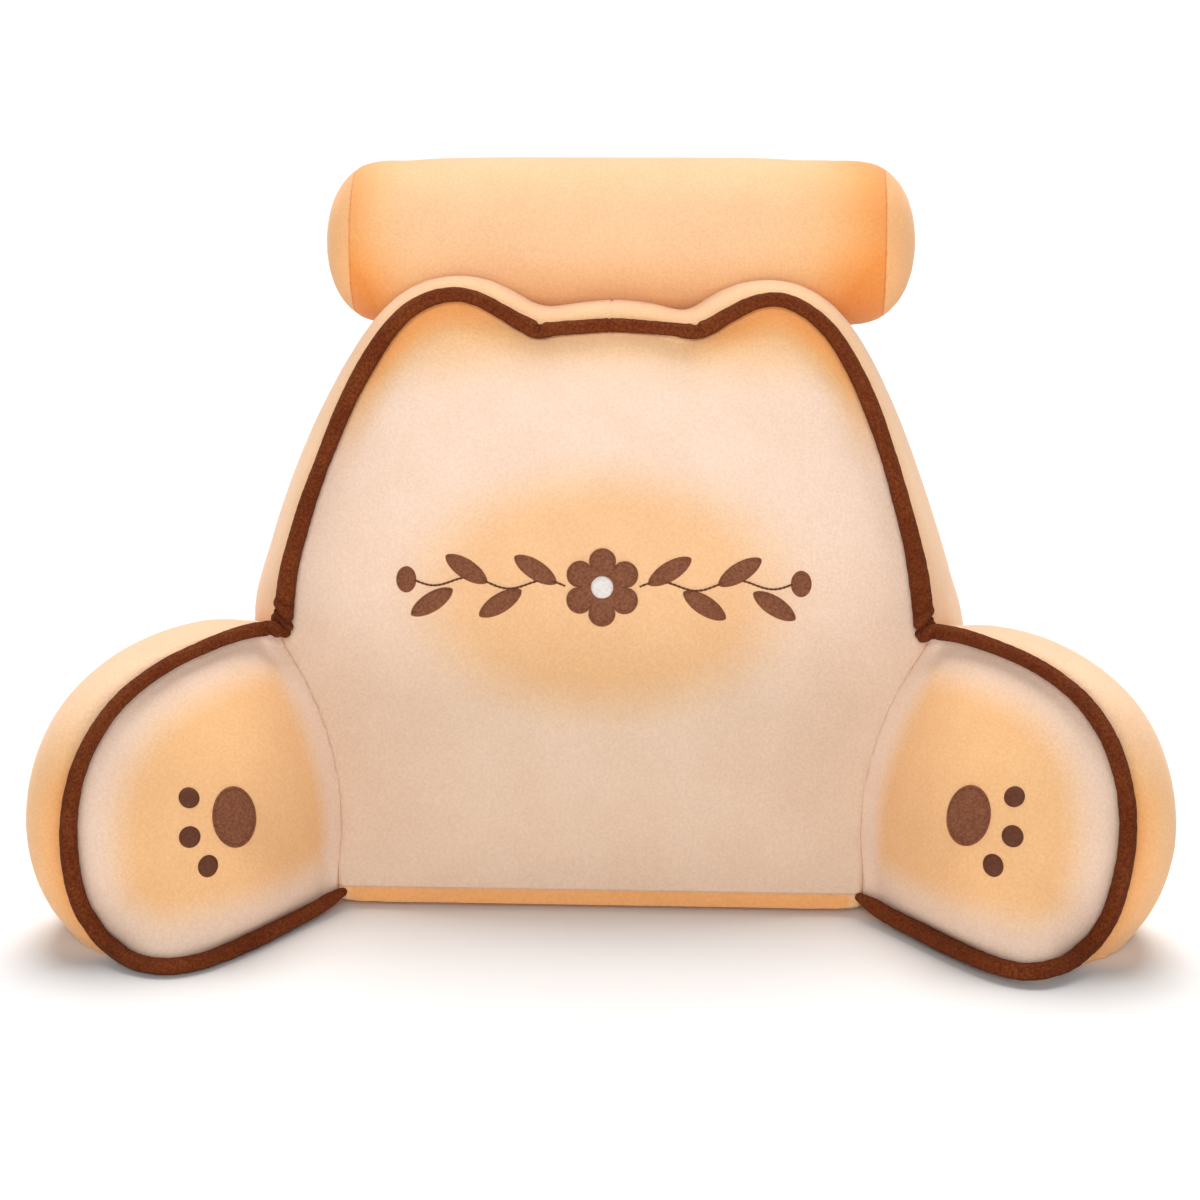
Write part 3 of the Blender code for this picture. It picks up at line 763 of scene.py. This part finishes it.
# %% Backrest, filled
PANEL_FOOT = np.array((0, -123 * MM, 16.5 * MM))
PANEL_UP = np.array((0, math.sin(PANEL_LEAN), math.cos(PANEL_LEAN)))
REAR_SEAM = Vector((0, 120 * MM, 0))
REAR_FACING = Vector((0, 1, 12 / 377)).normalized()
TRIM = 4.6 * MM  # how much slimmer the right side is, and at which height
TRIM_HEIGHT, TRIM_REACH = 285 * MM, 75 * MM
FLARE = {  # how far a side is let out, the height up to which it is, and the height where that ends
    "left": (10.5 * MM, 165 * MM, 245 * MM),
    "right": (9 * MM, 160 * MM, 222 * MM),
}
EAR_GAP = {  # how many mm the boxing between the ears rises, at millimetres across
    -42: 0.0, -20: 2.8, 8: 4.6, 34: 2.6, 50: -1.5, 58: -3.8, 66: -1.0, 76: 0.0,
}
STRIP_REAR = -80 * MM  # the base strip lies in front of this

arm_nodes = {label: surface(joined_copy("arm_" + label)) for label in SIDES}
roll_node = surface(joined_copy("neck_roll"))
back_node = surface(joined_copy("backrest"))
backrest = remeshed("backrest", "backrest_cushion", 6.0 * MM)
pulled(backrest, "back")
points = coordinates(backrest.data)
boxed = fade_in(points[:, 1], -75, -20) * fade_out(points[:, 1], 50, 108)
trim = TRIM * np.exp(-((points[:, 2] - TRIM_HEIGHT) / TRIM_REACH) ** 2)
points[:, 0] -= trim * fade_in(points[:, 0], 130, 230) * fade_in(points[:, 1], -60, 0)
for label, (most, full, none) in FLARE.items():
    flare = most * (1 - smoothstep(points[:, 2], full, none)) * fade_in(points[:, 2], 100, 150)
    points[:, 0] += SIDES[label] * flare * boxed * fade_in(SIDES[label] * points[:, 0], 150, 215)
gap_rise = np.interp(points[:, 0] / MM, list(EAR_GAP), list(EAR_GAP.values())) * MM
points[:, 2] += gap_rise * fade_in(points[:, 2], 330, 380) * fade_in(points[:, 1], -66, -40)
place(backrest.data, points)
back_shape = surface(opened(backrest.data))
rear = fade_out(np.abs((points - REAR_SEAM) @ REAR_FACING), 3, 12)
strip = fade_out(points[:, 2], 17, 40) * (points[:, 1] < STRIP_REAR)
pins = held(points, lines["back"], *arm_nodes.values(), roll_node)
filled(backrest, np.max([pins, rear, strip], axis=0))

# %% Backrest, sewn
BASE_SEAM = PANEL_FOOT[2]
STRIP_FRONT = -126 * MM
STRIP_HALF = 191 * MM
HEM_LIFT = 4.5 * MM  # how far the strip's lower edge curls off the floor
HEM_HEIGHT = 8 * MM  # how high up the curl reaches
EAR_DIP = 330 * MM  # the seam across the boxing lies above this

points = coordinates(backrest.data)
within = 1 - smoothstep(np.abs(points[:, 0]), STRIP_HALF - 2 * MM, STRIP_HALF + 6 * MM)
within *= points[:, 1] < STRIP_REAR
for i in np.flatnonzero((points[:, 2] < HEM_HEIGHT) & (within > 0)):
    rim = back_node.ray_cast(Vector((points[i, 0], -1, 2 * MM)), Vector((0, 1, 0)))[0]
    stretch = (STRIP_FRONT - STRIP_REAR) / min(rim.y - STRIP_REAR, -10 * MM)
    share = (stretch - 1) * within[i] * (1 - points[i, 2] / HEM_HEIGHT)
    points[i, 1] += (points[i, 1] - STRIP_REAR) * share
facing = smoothstep(-coordinates(backrest.data, "normal")[:, 1], 0.10, 0.55)
facing *= within * fade_out(points[:, 2], 17, 55)
points[:, 1] += np.minimum(STRIP_FRONT - points[:, 1], 0) * facing
hem = fade_in(-points[:, 1], 98, 120) * np.clip(1 - points[:, 2] / HEM_HEIGHT, 0, 1) * within
points[:, 2] += HEM_LIFT * hem
place(backrest.data, points)
creased(backrest, REAR_SEAM, REAR_FACING, 1.6, 1.6, lambda spot: spot.z > 3 * MM)
creased(backrest, (0, 0, BASE_SEAM), (0, 0, 1), 1.0, 1.0,
        lambda spot: spot.y < STRIP_REAR and abs(spot.x) < 195 * MM)
creased(backrest, (3 * MM, 0, 0), (1, 0, 0), 1.5, 1.0,
        lambda spot: spot.z > EAR_DIP and (np.array(spot) - PANEL_FOOT) @ PANEL_OUT < -4 * MM)
seated(backrest, "back", back_shape, 1.0)

# %% Backrest, dyed and with painted shade
OVAL_MIDDLE = (1 * MM, 217 * MM)
OVAL_SIZE = (127 * MM, 82 * MM)
OVAL_LEVEL, TOP_LEVEL, EAR_LEVEL = 0.52, 0.60, 0.75
CROWN_MIDDLE = 0.58  # the share of dye left between the ears
BOXING_LEVEL, BOXING_EDGE = 0.34, 0.28
# STRIP_SHADE is painted shade laid over the whole base strip
STRIP_LEVEL, STRIP_ENDS, STRIP_SHADE = 0.75, 0.20, 0.4


def panel_places(points):
    """Width across, height up the slope and depth behind the front panel, for each point."""
    return points[:, 0], (points - PANEL_FOOT) @ PANEL_UP, (points - PANEL_FOOT) @ PANEL_OUT


def painted_seam_shade(gap, radius):
    """Painted shade on the cloth beside a piping: 1 against the tube, fading to 0 two millimetres out."""
    return fade_out(gap - radius, -0.5, 2.0)


def edge_fade(gap, reach):
    """1 beside a piping, fading away from it over a reach in millimetres."""
    return np.exp(-np.maximum(gap - 6 * MM, 0) / (reach * MM))


points = coordinates(backrest.data)
gap, index = nearest_on(points, lines["back"])
width, height, depth = panel_places(points)
line_width, line_height, line_depth = panel_places(lines["back"])
corner = 190 * MM
outline = [*zip(line_width, line_height), (corner, -corner), (-corner, -corner)]
front = inside(np.stack([width, height], axis=1), np.array(outline)) & (depth > line_depth[index] - 12 * MM)
front |= (points[:, 2] < 195 * MM) & (points[:, 1] < -50 * MM)  # the arms hide the boxing there
oval = np.hypot((width - OVAL_MIDDLE[0]) / OVAL_SIZE[0], (height - OVAL_MIDDLE[1]) / OVAL_SIZE[1])
oval = OVAL_LEVEL * (1 - smoothstep(oval, 0.70, 1.32))
top = TOP_LEVEL * fade_in(height, 352, 412)
ears = EAR_LEVEL * fade_out(gap, 6, 34) * fade_in(height, 290, 380)
crown = 1 - (1 - top) * (1 - ears)
crown *= CROWN_MIDDLE + (1 - CROWN_MIDDLE) * fade_in(np.abs(width), 40, 110)
boxing = BOXING_LEVEL + BOXING_EDGE * edge_fade(gap, 9) * fade_in(height, 180, 300)
toast = np.where(front, np.maximum(oval, crown), boxing)
strip = (points[:, 2] < BASE_SEAM - 0.3 * MM) & (points[:, 1] < STRIP_REAR)
toast = np.where(strip, STRIP_LEVEL - STRIP_ENDS * fade_in(np.abs(points[:, 0]), 181, 184), toast)
# painted shade: the front panel is darker below 130 mm up its slope, fading out by 235 mm
painted_low_shade = fade_out(height, 130, 235)
# painted shade along the base seam's valley
seam_line_shade = fade_out(np.abs(points[:, 2] - BASE_SEAM), 0.4, 1.2) * (points[:, 1] < -100 * MM)
written(backrest, "toast", toast)
written(backrest, "painted_shade", np.maximum(front * painted_seam_shade(gap, radii["back"][index]), seam_line_shade))
written(backrest, "painted_low_shade", np.where(strip, STRIP_SHADE, front * painted_low_shade))
finished(backrest, plush, "plush_cream", "backrest")
back_surface = surface(opened(backrest.data))
print("front panel:", int(front.sum()), "of", len(points), "points")

# %% [markdown]
# ## Arms
#
# Each arm is its own stuffed bag, sewn to the backrest along a crease. After it is filled, its edge along
# the crease is drawn against the backrest, so that the two cloths meet in a thin line as sewn cloth does.

# %% Arms, filled and sewn
SNUG_REACH = 14 * MM
SNUG_GAP = 0.15 * MM


def snug(piece, tree):
    """Draw the part of a piece that is near a neighbour against it, and out of it."""
    points = coordinates(piece.data)
    for i, point in enumerate(points):
        spot, normal, _, gap = tree.find_nearest(Vector(point), SNUG_REACH)
        if spot is None:
            continue
        away = Vector(point) - spot
        if away.dot(normal) < 0:
            points[i] = spot + normal * SNUG_GAP
        else:
            share = 1 - smoothstep(gap, 0.2 * SNUG_REACH, SNUG_REACH)
            points[i] = Vector(point).lerp(spot + normal * SNUG_GAP, float(share))
    place(piece.data, points)


arms = {}
for label in SIDES:
    arm = remeshed("arm_" + label, label + "_arm_cushion", 4.5 * MM)
    pulled(arm, label)
    arm_shape = surface(opened(arm.data))
    filled(arm, held(coordinates(arm.data), lines[label], back_node))
    seated(arm, label, arm_shape, 2.0 + SIDES[label])
    snug(arm, back_surface)
    arms[label] = arm

# %% Arms, dyed and with painted shade
CREASE_ANGLE = math.radians(50)  # between an arm's inner panel and the front panel
GLOW_LEVEL = 0.60
GLOW_EDGE = (14, 50)  # how many mm inside the panel's seams the dye begins and is full
SIDE_LEVEL, SIDE_LOW_SHADE, SIDE_EDGE = 0.29, 0.25, 0.32

for label, arm in arms.items():
    points = coordinates(arm.data)
    middle, across, up, out = (np.array(part) for part in pads[label])
    flatten = np.stack([across * SIDES[label], up], axis=1)
    gap, index = nearest_on(points, lines[label])
    flat_line = (lines[label] - middle) @ flatten
    inner = [flat_line[-1] - (80 * MM, 0), flat_line[0] - (80 * MM, 0)]
    crease = gaps_to(points, back_surface, 60 * MM) / math.sin(CREASE_ANGLE)
    front = inside((points - middle) @ flatten, np.array([*flat_line, *inner]))
    front &= (points - lines[label][index]) @ out > np.where(crease < 20 * MM, -30, -12) * MM
    glow = GLOW_LEVEL * fade_in(np.minimum(gap, crease), *GLOW_EDGE)
    # painted shade: SIDE_LOW_SHADE deepens the sides' toast below 190 mm; SIDE_EDGE adds toast beside the
    # piping there
    low = fade_out(points[:, 2], 110, 190)
    boxing = SIDE_LEVEL + low * (SIDE_LOW_SHADE + SIDE_EDGE * edge_fade(gap, 16))
    written(arm, "toast", np.where(front, glow, boxing))
    # painted shade beside the arm's piping
    written(arm, "painted_shade", front * painted_seam_shade(gap, radii[label][index]))
    written(arm, "painted_low_shade", np.zeros(len(points)))
    finished(arm, plush, "plush_cream", "arm_" + label)
    print(arm.name, "panel:", int(front.sum()), "of", len(points), "points")
arm_surfaces = {label: surface(opened(arm.data)) for label, arm in arms.items()}

# %% [markdown]
# ## Neck roll
#
# A bolster is a tube of plush closed by two round caps, tight enough to be almost a cylinder. The cap seams
# are thin valleys, the dye is deepest just inside them, and the roll's weight rests in the dent behind the
# ears.

# %% Neck roll
ROLL_SEAM = 199.5 * MM
ROLL_SHIFT = (0.7 * MM, 1.4 * MM)  # to the right and up, against the CAD's place
ROLL_LONGER = 0.0066  # the filling pushes the caps out a little
ROLL_SLOPE = 0.0045
# UNDER_SHADE_LEVEL and END_UNDER_SHADE raise the toast on the roll's underside: painted shade and a painted
# warm reflection
CAP_LEVEL, MIDDLE_LEVEL, UNDER_SHADE_LEVEL = 0.68, 0.45, 0.14
END_LEVELS, END_REACHES, END_UNDER_SHADE = (0.38, 0.46), (28 * MM, 45 * MM), 0.30  # left and right

roll_low, roll_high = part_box("neck_roll")
roll_middle = (roll_low + roll_high) / 2
roll = remeshed("neck_roll", "neck_roll_cushion", 4.5 * MM)
points = coordinates(roll.data)
points[:, 2] += ROLL_SHIFT[1] + (points[:, 0] - roll_middle.x) * ROLL_SLOPE
points[:, 0] += ROLL_SHIFT[0] + (points[:, 0] - roll_middle.x) * ROLL_LONGER
place(roll.data, points)
capped = smoothstep(np.abs(points[:, 0] - roll_middle.x), ROLL_SEAM - 40 * MM, ROLL_SEAM - 4 * MM)
filled(roll, np.maximum(capped, fade_out(gaps_to(points, back_node, 20 * MM), 2, 12)))
for side in SIDES.values():
    creased(roll, (roll_middle.x + side * ROLL_SEAM, 0, 0), (1, 0, 0), 0.8, 0.7, lambda spot: True)
points = coordinates(roll.data)
leftward = points[:, 0] < roll_middle.x
inward = ROLL_SEAM - np.abs(points[:, 0] - roll_middle.x)
low = fade_in(roll_middle.z - points[:, 2], -25, 55)
ends = np.where(leftward, *END_LEVELS) + END_UNDER_SHADE * low
ends *= np.exp(-(np.maximum(inward, 0) / np.where(leftward, *END_REACHES)) ** 1.5)
toast = np.where(inward > -0.4 * MM, MIDDLE_LEVEL + UNDER_SHADE_LEVEL * low + ends, CAP_LEVEL)
written(roll, "toast", toast)
# painted shade in the cap seams' valleys
written(roll, "painted_shade", fade_out(np.abs(inward), 0.2, 1.0))
# painted shade on the roll's underside
written(roll, "painted_low_shade", 0.4 * low)
finished(roll, plush, "plush_peach", "neck_roll")
print("roll seams at", ROLL_SEAM / MM, "mm from its middle")

# %% [markdown]
# ## Piping
#
# The piping is a strip of brown plush folded round a cord. It could be a plain tube, but cloth round a cord
# is never quite even: it swells and thins, it is pinched where it turns a sharp corner, and where two
# pipings meet it bunches in folds. So each line is run on past its end to the joint, a curve with a bevel
# makes the tube, its radius follows a profile, and the folds are pressed into the mesh.

# %% Piping, run on to the joints
PIPING_STEP = 1.0 * MM
TAILS = {  # inward, forward and up in millimetres, from the line's own end
    "left": ((1.5, -1, -7), (3, -1.3, -13)),
    "right": ((1.5, -1, -6), (3, -1.3, -10.5)),
}
LIP = ((6.5, -1, 1.2), (11, -1.8, -0.6), (13.5, -1.8, -5))


def run_on(line, steps, side):
    """The points that carry a line on past its first point, the farthest one first."""
    return [line[0] + MM * np.array((-side * inward, forward, up))
            for inward, forward, up in reversed(steps)]


piping_lines = {"back": [*run_on(lines["back"], TAILS["left"], -1), *lines["back"],
                         *reversed(run_on(lines["back"][::-1], TAILS["right"], 1))]}
for label, side in SIDES.items():
    piping_lines[label] = [*run_on(lines[label], LIP, side), *lines[label]]
piping_lines = {label: evened(points, PIPING_STEP) for label, points in piping_lines.items()}
print("run on to", [len(line) for line in piping_lines.values()], "mm")

# %% Piping, radius
BEVEL_STEPS = 8  # gives the tubes twenty sides
ROUNDING = 5 * MM
WANDER, WANDER_RATE = 0.03, 0.08  # how much the radius wanders, and how fast along the line


def narrowed(run, slim, reach):
    """How a tube narrows to a rounded end, to a share of its radius over a reach in millimetres."""
    rounded = np.sqrt(1 - (1 - np.clip(run / ROUNDING, 0.02, 1)) ** 2)
    return (slim + (1 - slim) * fade_in(run, 0, reach)) * rounded


def tube(name, line, radii):
    """A closed mesh tube along a line, with a radius for each point."""
    curve = bpy.data.curves.new(name, "CURVE")
    curve.dimensions = "3D"
    curve.bevel_depth = 1.0
    curve.bevel_resolution = BEVEL_STEPS
    curve.use_fill_caps = True
    spline = curve.splines.new("POLY")
    spline.points.add(len(line) - 1)
    for knot, spot, radius in zip(spline.points, line, radii):
        knot.co = (*spot, 1.0)
        knot.radius = radius
    source = added(name, curve)
    mesh = evaluated(source)
    bpy.data.objects.remove(source)
    shape = opened(mesh)
    bmesh.ops.remove_doubles(shape, verts=shape.verts, dist=0.01 * MM)
    bmesh.ops.recalc_face_normals(shape, faces=shape.faces)
    return added(name, closed(shape, mesh))


def piping(name, label, start, end, seed):
    """A piping with its radius from the table, a slight wander, and its own narrowing at each end."""
    line = piping_lines[label]
    run = np.arange(len(line)) * PIPING_STEP
    waves = np.array([noise.noise(Vector((WANDER_RATE * i, seed, 0))) for i in range(len(line))])
    radius = radii[label][nearest_on(line, lines[label])[1]]
    narrowing = narrowed(run, *start) * narrowed(run[::-1], *end)
    return tube(name, line, radius * (1 + WANDER * waves) * narrowing)


TAIL = (0.62, 13)  # share and reach: the back piping ends behind each joint in a slim tail,
ROUND_LIP = (0.95, 8)  # an arm's piping in a full round lip,
FOOT = (0.60, 24)  # and it thins out where it is tucked under at the base
pipings = {
    "back": piping("piping_ears", "back", TAIL, TAIL, 3.0),
    "left": piping("piping_left_arm", "left", ROUND_LIP, FOOT, 4.0),
    "right": piping("piping_right_arm", "right", ROUND_LIP, FOOT, 5.0),
}
print("pipings:", ", ".join(piece.name for piece in pipings.values()))

# %% Piping, folds
LUMP = 0.25 * MM
LUMP_SIZE = 5 * MM
FOLD_REACH = 16 * MM
FOLDS = (  # start, shift in mm, facing, depth, width in mm and pressed side, for the right half
    ("joint", (0, 0, 4), (-0.60, 0, 0.80), 0.30, 1.8, None),
    ("joint", (-2, 0, -3.5), (-0.70, 0, 0.71), 0.26, 1.6, None),
    ("joint", (1, 0, 15), (-0.45, 0, 0.89), 0.16, 2.0, (0, -1, 0)),
    ("lip", (0, 0, 0), (1, 0, -0.3), 0.24, 2.2, (0, -0.5, -1)),
    ("dip", (0, 0, 0), (1, 0, 0.35), 0.22, 2.0, (0, -0.4, 1)),
    ("dip", (5, 0, 0), (1, 0, 0.9), 0.14, 1.6, (0, -0.6, 0.8)),
)
LIP_FOLD = 10  # which point of an arm's line its lip is folded at
DIP_SPAN = (20 * MM, 90 * MM)  # the piping dips beside each ear between these, from the middle
JOIN_PLACE = 3 * MM  # where the back piping's two ends are sewn together, across the middle
TURNED_SHADE = 0.35  # painted shade: how much darker the piping is where it turns away


def lumpy(piece):
    """Raise and sink a piece's surface by soft noise."""
    points = coordinates(piece.data)
    waves = np.array([noise.noise(Vector(point) / LUMP_SIZE) for point in points])
    place(piece.data, points + coordinates(piece.data, "normal") * (LUMP * waves)[:, None])


def folded(label, spot, facing, depth, width, side=None):
    """Press a fold into a piping where a plane crosses it, all round it or on one side, and keep painted
    shade for its floor.
    """
    piece, line = pipings[label], piping_lines[label]
    points = coordinates(piece.data)
    gap, index = nearest_on(points, line)
    away = (points - spot) @ np.array(Vector(facing).normalized())
    share = depth * (1.35 * np.exp(-(away / width) ** 2) - 0.35 * np.exp(-(away / (2.4 * width)) ** 2))
    share *= 1 - smoothstep(np.linalg.norm(points - spot, axis=1), 0.7 * FOLD_REACH, FOLD_REACH)
    if side:
        out = (points - line[index]) / np.maximum(gap, 0.1 * MM)[:, None]
        share *= smoothstep(out @ np.array(Vector(side).normalized()), -0.2, 0.5)
    place(piece.data, points - (points - line[index]) * share[:, None])
    # painted shade in the floor of the fold
    floor_shade = min(1, 2.5 * depth) * np.clip(share / depth, 0, 1) ** 2
    fold_shades[label] = np.maximum(fold_shades[label], floor_shade)


def sharpest(line, low, high):
    """The point where a line bends most, between two places across."""
    span = 4
    bends = [(np.linalg.norm(line[i + span] - 2 * line[i] + line[i - span]), i)
             for i in range(span, len(line) - span) if low < line[i][0] < high]
    return line[max(bends)[1]]


for piece in pipings.values():
    lumpy(piece)
fold_shades = {label: np.zeros(len(piece.data.vertices)) for label, piece in pipings.items()}
for label, side in SIDES.items():
    starts = {"joint": lines["back"][0 if side < 0 else -1], "lip": piping_lines[label][LIP_FOLD],
              "dip": sharpest(lines["back"], *sorted(side * reach for reach in DIP_SPAN))}
    mirror = np.array((side, 1, 1))
    for start, shift, facing, depth, width, pressed in FOLDS:
        folded(label if start == "lip" else "back", starts[start] + mirror * shift * MM,
               mirror * facing, depth, width * MM, pressed)
join = min(lines["back"], key=lambda spot: abs(spot[0] - JOIN_PLACE))
folded("back", join, (1, 0, 0), 0.15, 0.9 * MM)
for label, piece in pipings.items():
    facing = np.array(pads[label][3]) if label in pads else PANEL_OUT
    # painted shade: darker where the piping turns away from its panel and in its fold floors
    turned = 1 - smoothstep(coordinates(piece.data, "normal") @ facing, 0.1, 0.8)
    written(piece, "painted_shade", np.maximum(TURNED_SHADE * turned, fold_shades[label]))
    finished(piece, brown_plush, "plush_brown", TUBES[label][0])
    print(piece.name, "has", len(piece.data.polygons), "faces")

# %% [markdown]
# ## Appliques
#
# The paw pads, toes, flower, leaves and buds are brushed felt, laid on the plush and sewn down round the
# rim with satin stitch. A flattened sphere gives each one as a closed shape whose rings run round it: the
# rings near its equator become the rim, and each point is dropped onto the filled cushion below it. Two
# thin wavy stems of thread join the flower to the buds.

# %% Applique helpers
STITCH_PITCH = 1.7 * MM
SINK = 0.5 * MM
FELT_HEIGHT = 1.3 * MM
GROOVE_SHARE = 0.03  # how wide the groove inside a rim is, as a share of the radius


def ellipse(width, height, lean=0.0):
    """A rim as a function of the turn from straight across, leaning by an angle."""
    turned = Matrix.Rotation(lean, 2)
    return lambda turn: turned @ Vector((0.5 * width * math.cos(turn), 0.5 * height * math.sin(turn)))


def satin_rim(rim_share, rim):
    """A flat felt middle, a groove and a rounded rim, as a height profile, rings and the rim's share."""
    def height(share):
        if share < rim_share - GROOVE_SHARE:
            return FELT_HEIGHT * (1.0 - 0.15 * share)
        if share < rim_share:
            return 0.35 * FELT_HEIGHT
        t = (share - rim_share) / (1 - rim_share)
        return rim * math.sqrt(max(0.0, 1 - (2 * t - 0.9) ** 2 / 1.25))
    return height, 44, rim_share


def domed(rise, rim_share=0.8):
    """A small padded shape, in the same form."""
    return lambda share: rise * math.sqrt(max(0.0, 1 - share ** 3)), 24, rim_share


def rim_length(outline):
    """How long a rim is."""
    spots = [outline(2 * math.pi * i / 60) for i in range(61)]
    return sum((b - a).length for a, b in zip(spots, spots[1:]))


def applique(name, tree, outline, form, ways):
    """A closed felt shape that lies on a cushion; its rim's faces take the second material."""
    profile, rings, rim_share = form
    middle, across, up, out = ways
    stitches = round(rim_length(outline) / STITCH_PITCH)
    shape = bmesh.new()
    bmesh.ops.create_uvsphere(shape, u_segments=4 * stitches, v_segments=rings, radius=1.0)
    for face in shape.faces:
        spot = face.calc_center_median()
        face.material_index = int(math.hypot(spot.x, spot.y) > rim_share - GROOVE_SHARE or spot.z < 0)
    for vert in shape.verts:
        share = min(1.0, math.hypot(vert.co.x, vert.co.y))
        turn = math.atan2(vert.co.y, vert.co.x)
        flat = outline(turn) * share
        rise = profile(share) if vert.co.z > -0.01 else -SINK
        if vert.co.z > -0.01 and share > rim_share:
            rise *= 0.84 + 0.16 * math.cos(stitches * turn)
            flat *= 1 + 0.012 * math.cos(stitches * turn)
        above = middle + across * flat.x + up * flat.y + out * 40 * MM
        spot, normal, _, _ = tree.ray_cast(above, -out)
        vert.co = spot + normal * rise
    bmesh.ops.recalc_face_normals(shape, faces=shape.faces)
    return added(name, closed(shape, bpy.data.meshes.new(name)))


print("satin stitches every", STITCH_PITCH / MM, "mm")

# %% Paws
PAD_SIZE = (33 * MM, 43 * MM)
PAW_INWARD = 2 * MM
PAD_LEAN = math.radians(13)  # the pads stand upright to the eye on panels that lean
TOE_SIZE = (13.5 * MM, 15 * MM)
TOES = 3
SATIN = (brown_felt, brown_thread)

for label, (middle, *ways) in pads.items():
    inward = ways[0] * -SIDES[label] * PAW_INWARD
    pad = applique(f"paw_pad_{label}", arm_surfaces[label], ellipse(*PAD_SIZE, SIDES[label] * PAD_LEAN),
                   satin_rim(0.89, 1.7 * MM), (middle + inward, *ways))
    finished(pad, SATIN, "applique_brown", f"paw_{label}_pad")
    for number in range(1, TOES + 1):
        node = f"paw_{label}_toe_{number}"
        toe = applique(f"toe_{label}_{number}", arm_surfaces[label], ellipse(*TOE_SIZE),
                       domed(1.7 * MM, 0.82), (plate(node)[0] + inward, *ways))
        finished(toe, (brown_thread, brown_thread), "applique_brown", node)
    print(label, "paw: a pad and", TOES, "toes")

# %% Flower and sprigs
FLOWER_SIZE = 56 * MM
PETALS = 6
EYE_SIZE = 17 * MM
LEAF_LENGTH, LEAF_WIDTH = 36 * MM, 14 * MM
LEAF_TILT = math.radians(32)
LEAVES = 4
BUD_SIZE = (15 * MM, 19 * MM)
PANEL_WAYS = (Vector((1, 0, 0)), Vector(PANEL_UP), Vector(PANEL_OUT))


def flower_rim(turn):
    """A round-petalled flower with a petal straight up."""
    reach = 0.5 * FLOWER_SIZE * (0.60 + 0.40 * math.sqrt(abs(math.cos(0.5 * PETALS * (turn - math.pi / 2)))))
    return Vector((reach * math.cos(turn), reach * math.sin(turn)))


def leaf_rim(angle):
    """A pointed leaf that leans by an angle."""
    def rim(turn):
        along = 0.5 * LEAF_LENGTH * math.cos(turn)
        wide = 0.5 * LEAF_WIDTH * abs(math.sin(turn)) ** 1.25 * math.copysign(1, math.sin(turn))
        return Matrix.Rotation(angle, 2) @ Vector((along, wide))
    return rim


def on_panel(name, node, outline, form, finishes=SATIN, slot="applique_brown"):
    """Lay one shape of the motif on the front panel."""
    piece = applique(name, back_surface, outline, form, (plate(node)[0], *PANEL_WAYS))
    finished(piece, finishes, slot, node)


on_panel("flower", "motif_flower", flower_rim, satin_rim(0.87, 1.8 * MM))
on_panel("flower_eye", "motif_flower_centre", ellipse(EYE_SIZE, EYE_SIZE), domed(3.4 * MM),
         (white_felt, white_felt), "applique_white")
for label, side in SIDES.items():
    for number in range(1, LEAVES + 1):
        lean = side * LEAF_TILT * (1 if number % 2 else -1)
        on_panel(f"leaf_{label}_{number}", f"motif_leaf_{label}_{number}", leaf_rim(lean), domed(1.8 * MM))
    on_panel(f"bud_{label}", f"motif_bud_{label}", ellipse(*BUD_SIZE), domed(1.8 * MM))
print("motif: a flower, its eye,", 2 * LEAVES, "leaves and 2 buds")

# %% Stems
STEM_RADIUS = 0.95 * MM
STEM_WAVE = 3.5 * MM
STEM_TURNS = 2
STEM_POINTS = 90
STEM_TWISTS = 35  # how often the thread's radius swells

for label, side in SIDES.items():
    start, end = plate("motif_flower")[0], plate("motif_bud_" + label)[0]
    whole = (end - start).length
    first, last = 0.48 * FLOWER_SIZE / whole, 1 - 0.4 * BUD_SIZE[0] / whole
    line = []
    for t in np.linspace(first, last, STEM_POINTS):
        wave = STEM_WAVE * math.sin(2 * math.pi * STEM_TURNS * (t - first) / (last - first))
        above = start.lerp(end, float(t)) + PANEL_WAYS[1] * wave + PANEL_WAYS[2] * 40 * MM
        spot, normal, _, _ = back_surface.ray_cast(above, -PANEL_WAYS[2])
        line.append(np.array(spot + normal * 0.3 * STEM_RADIUS))
    twist = np.cos(2 * math.pi * STEM_TWISTS * np.linspace(0, 1, len(line)))
    stem = tube("stem_" + label, line, STEM_RADIUS * (0.75 + 0.25 * twist))
    finished(stem, brown_thread, "applique_brown")
print("stems wave by", STEM_WAVE / MM, "mm")

# %% [markdown]
# ## Sizes
#
# The dressed pillow is meant to keep the size of the CAD model, and both sizes are printed.

# %% Sizes
dressed_low, dressed_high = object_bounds()
for name, low, high in (("cad", cad_low, cad_high), ("dressed", dressed_low, dressed_high)):
    print(name, "is", [round((b - a) / MM, 1) for a, b in zip(low, high)], "mm")
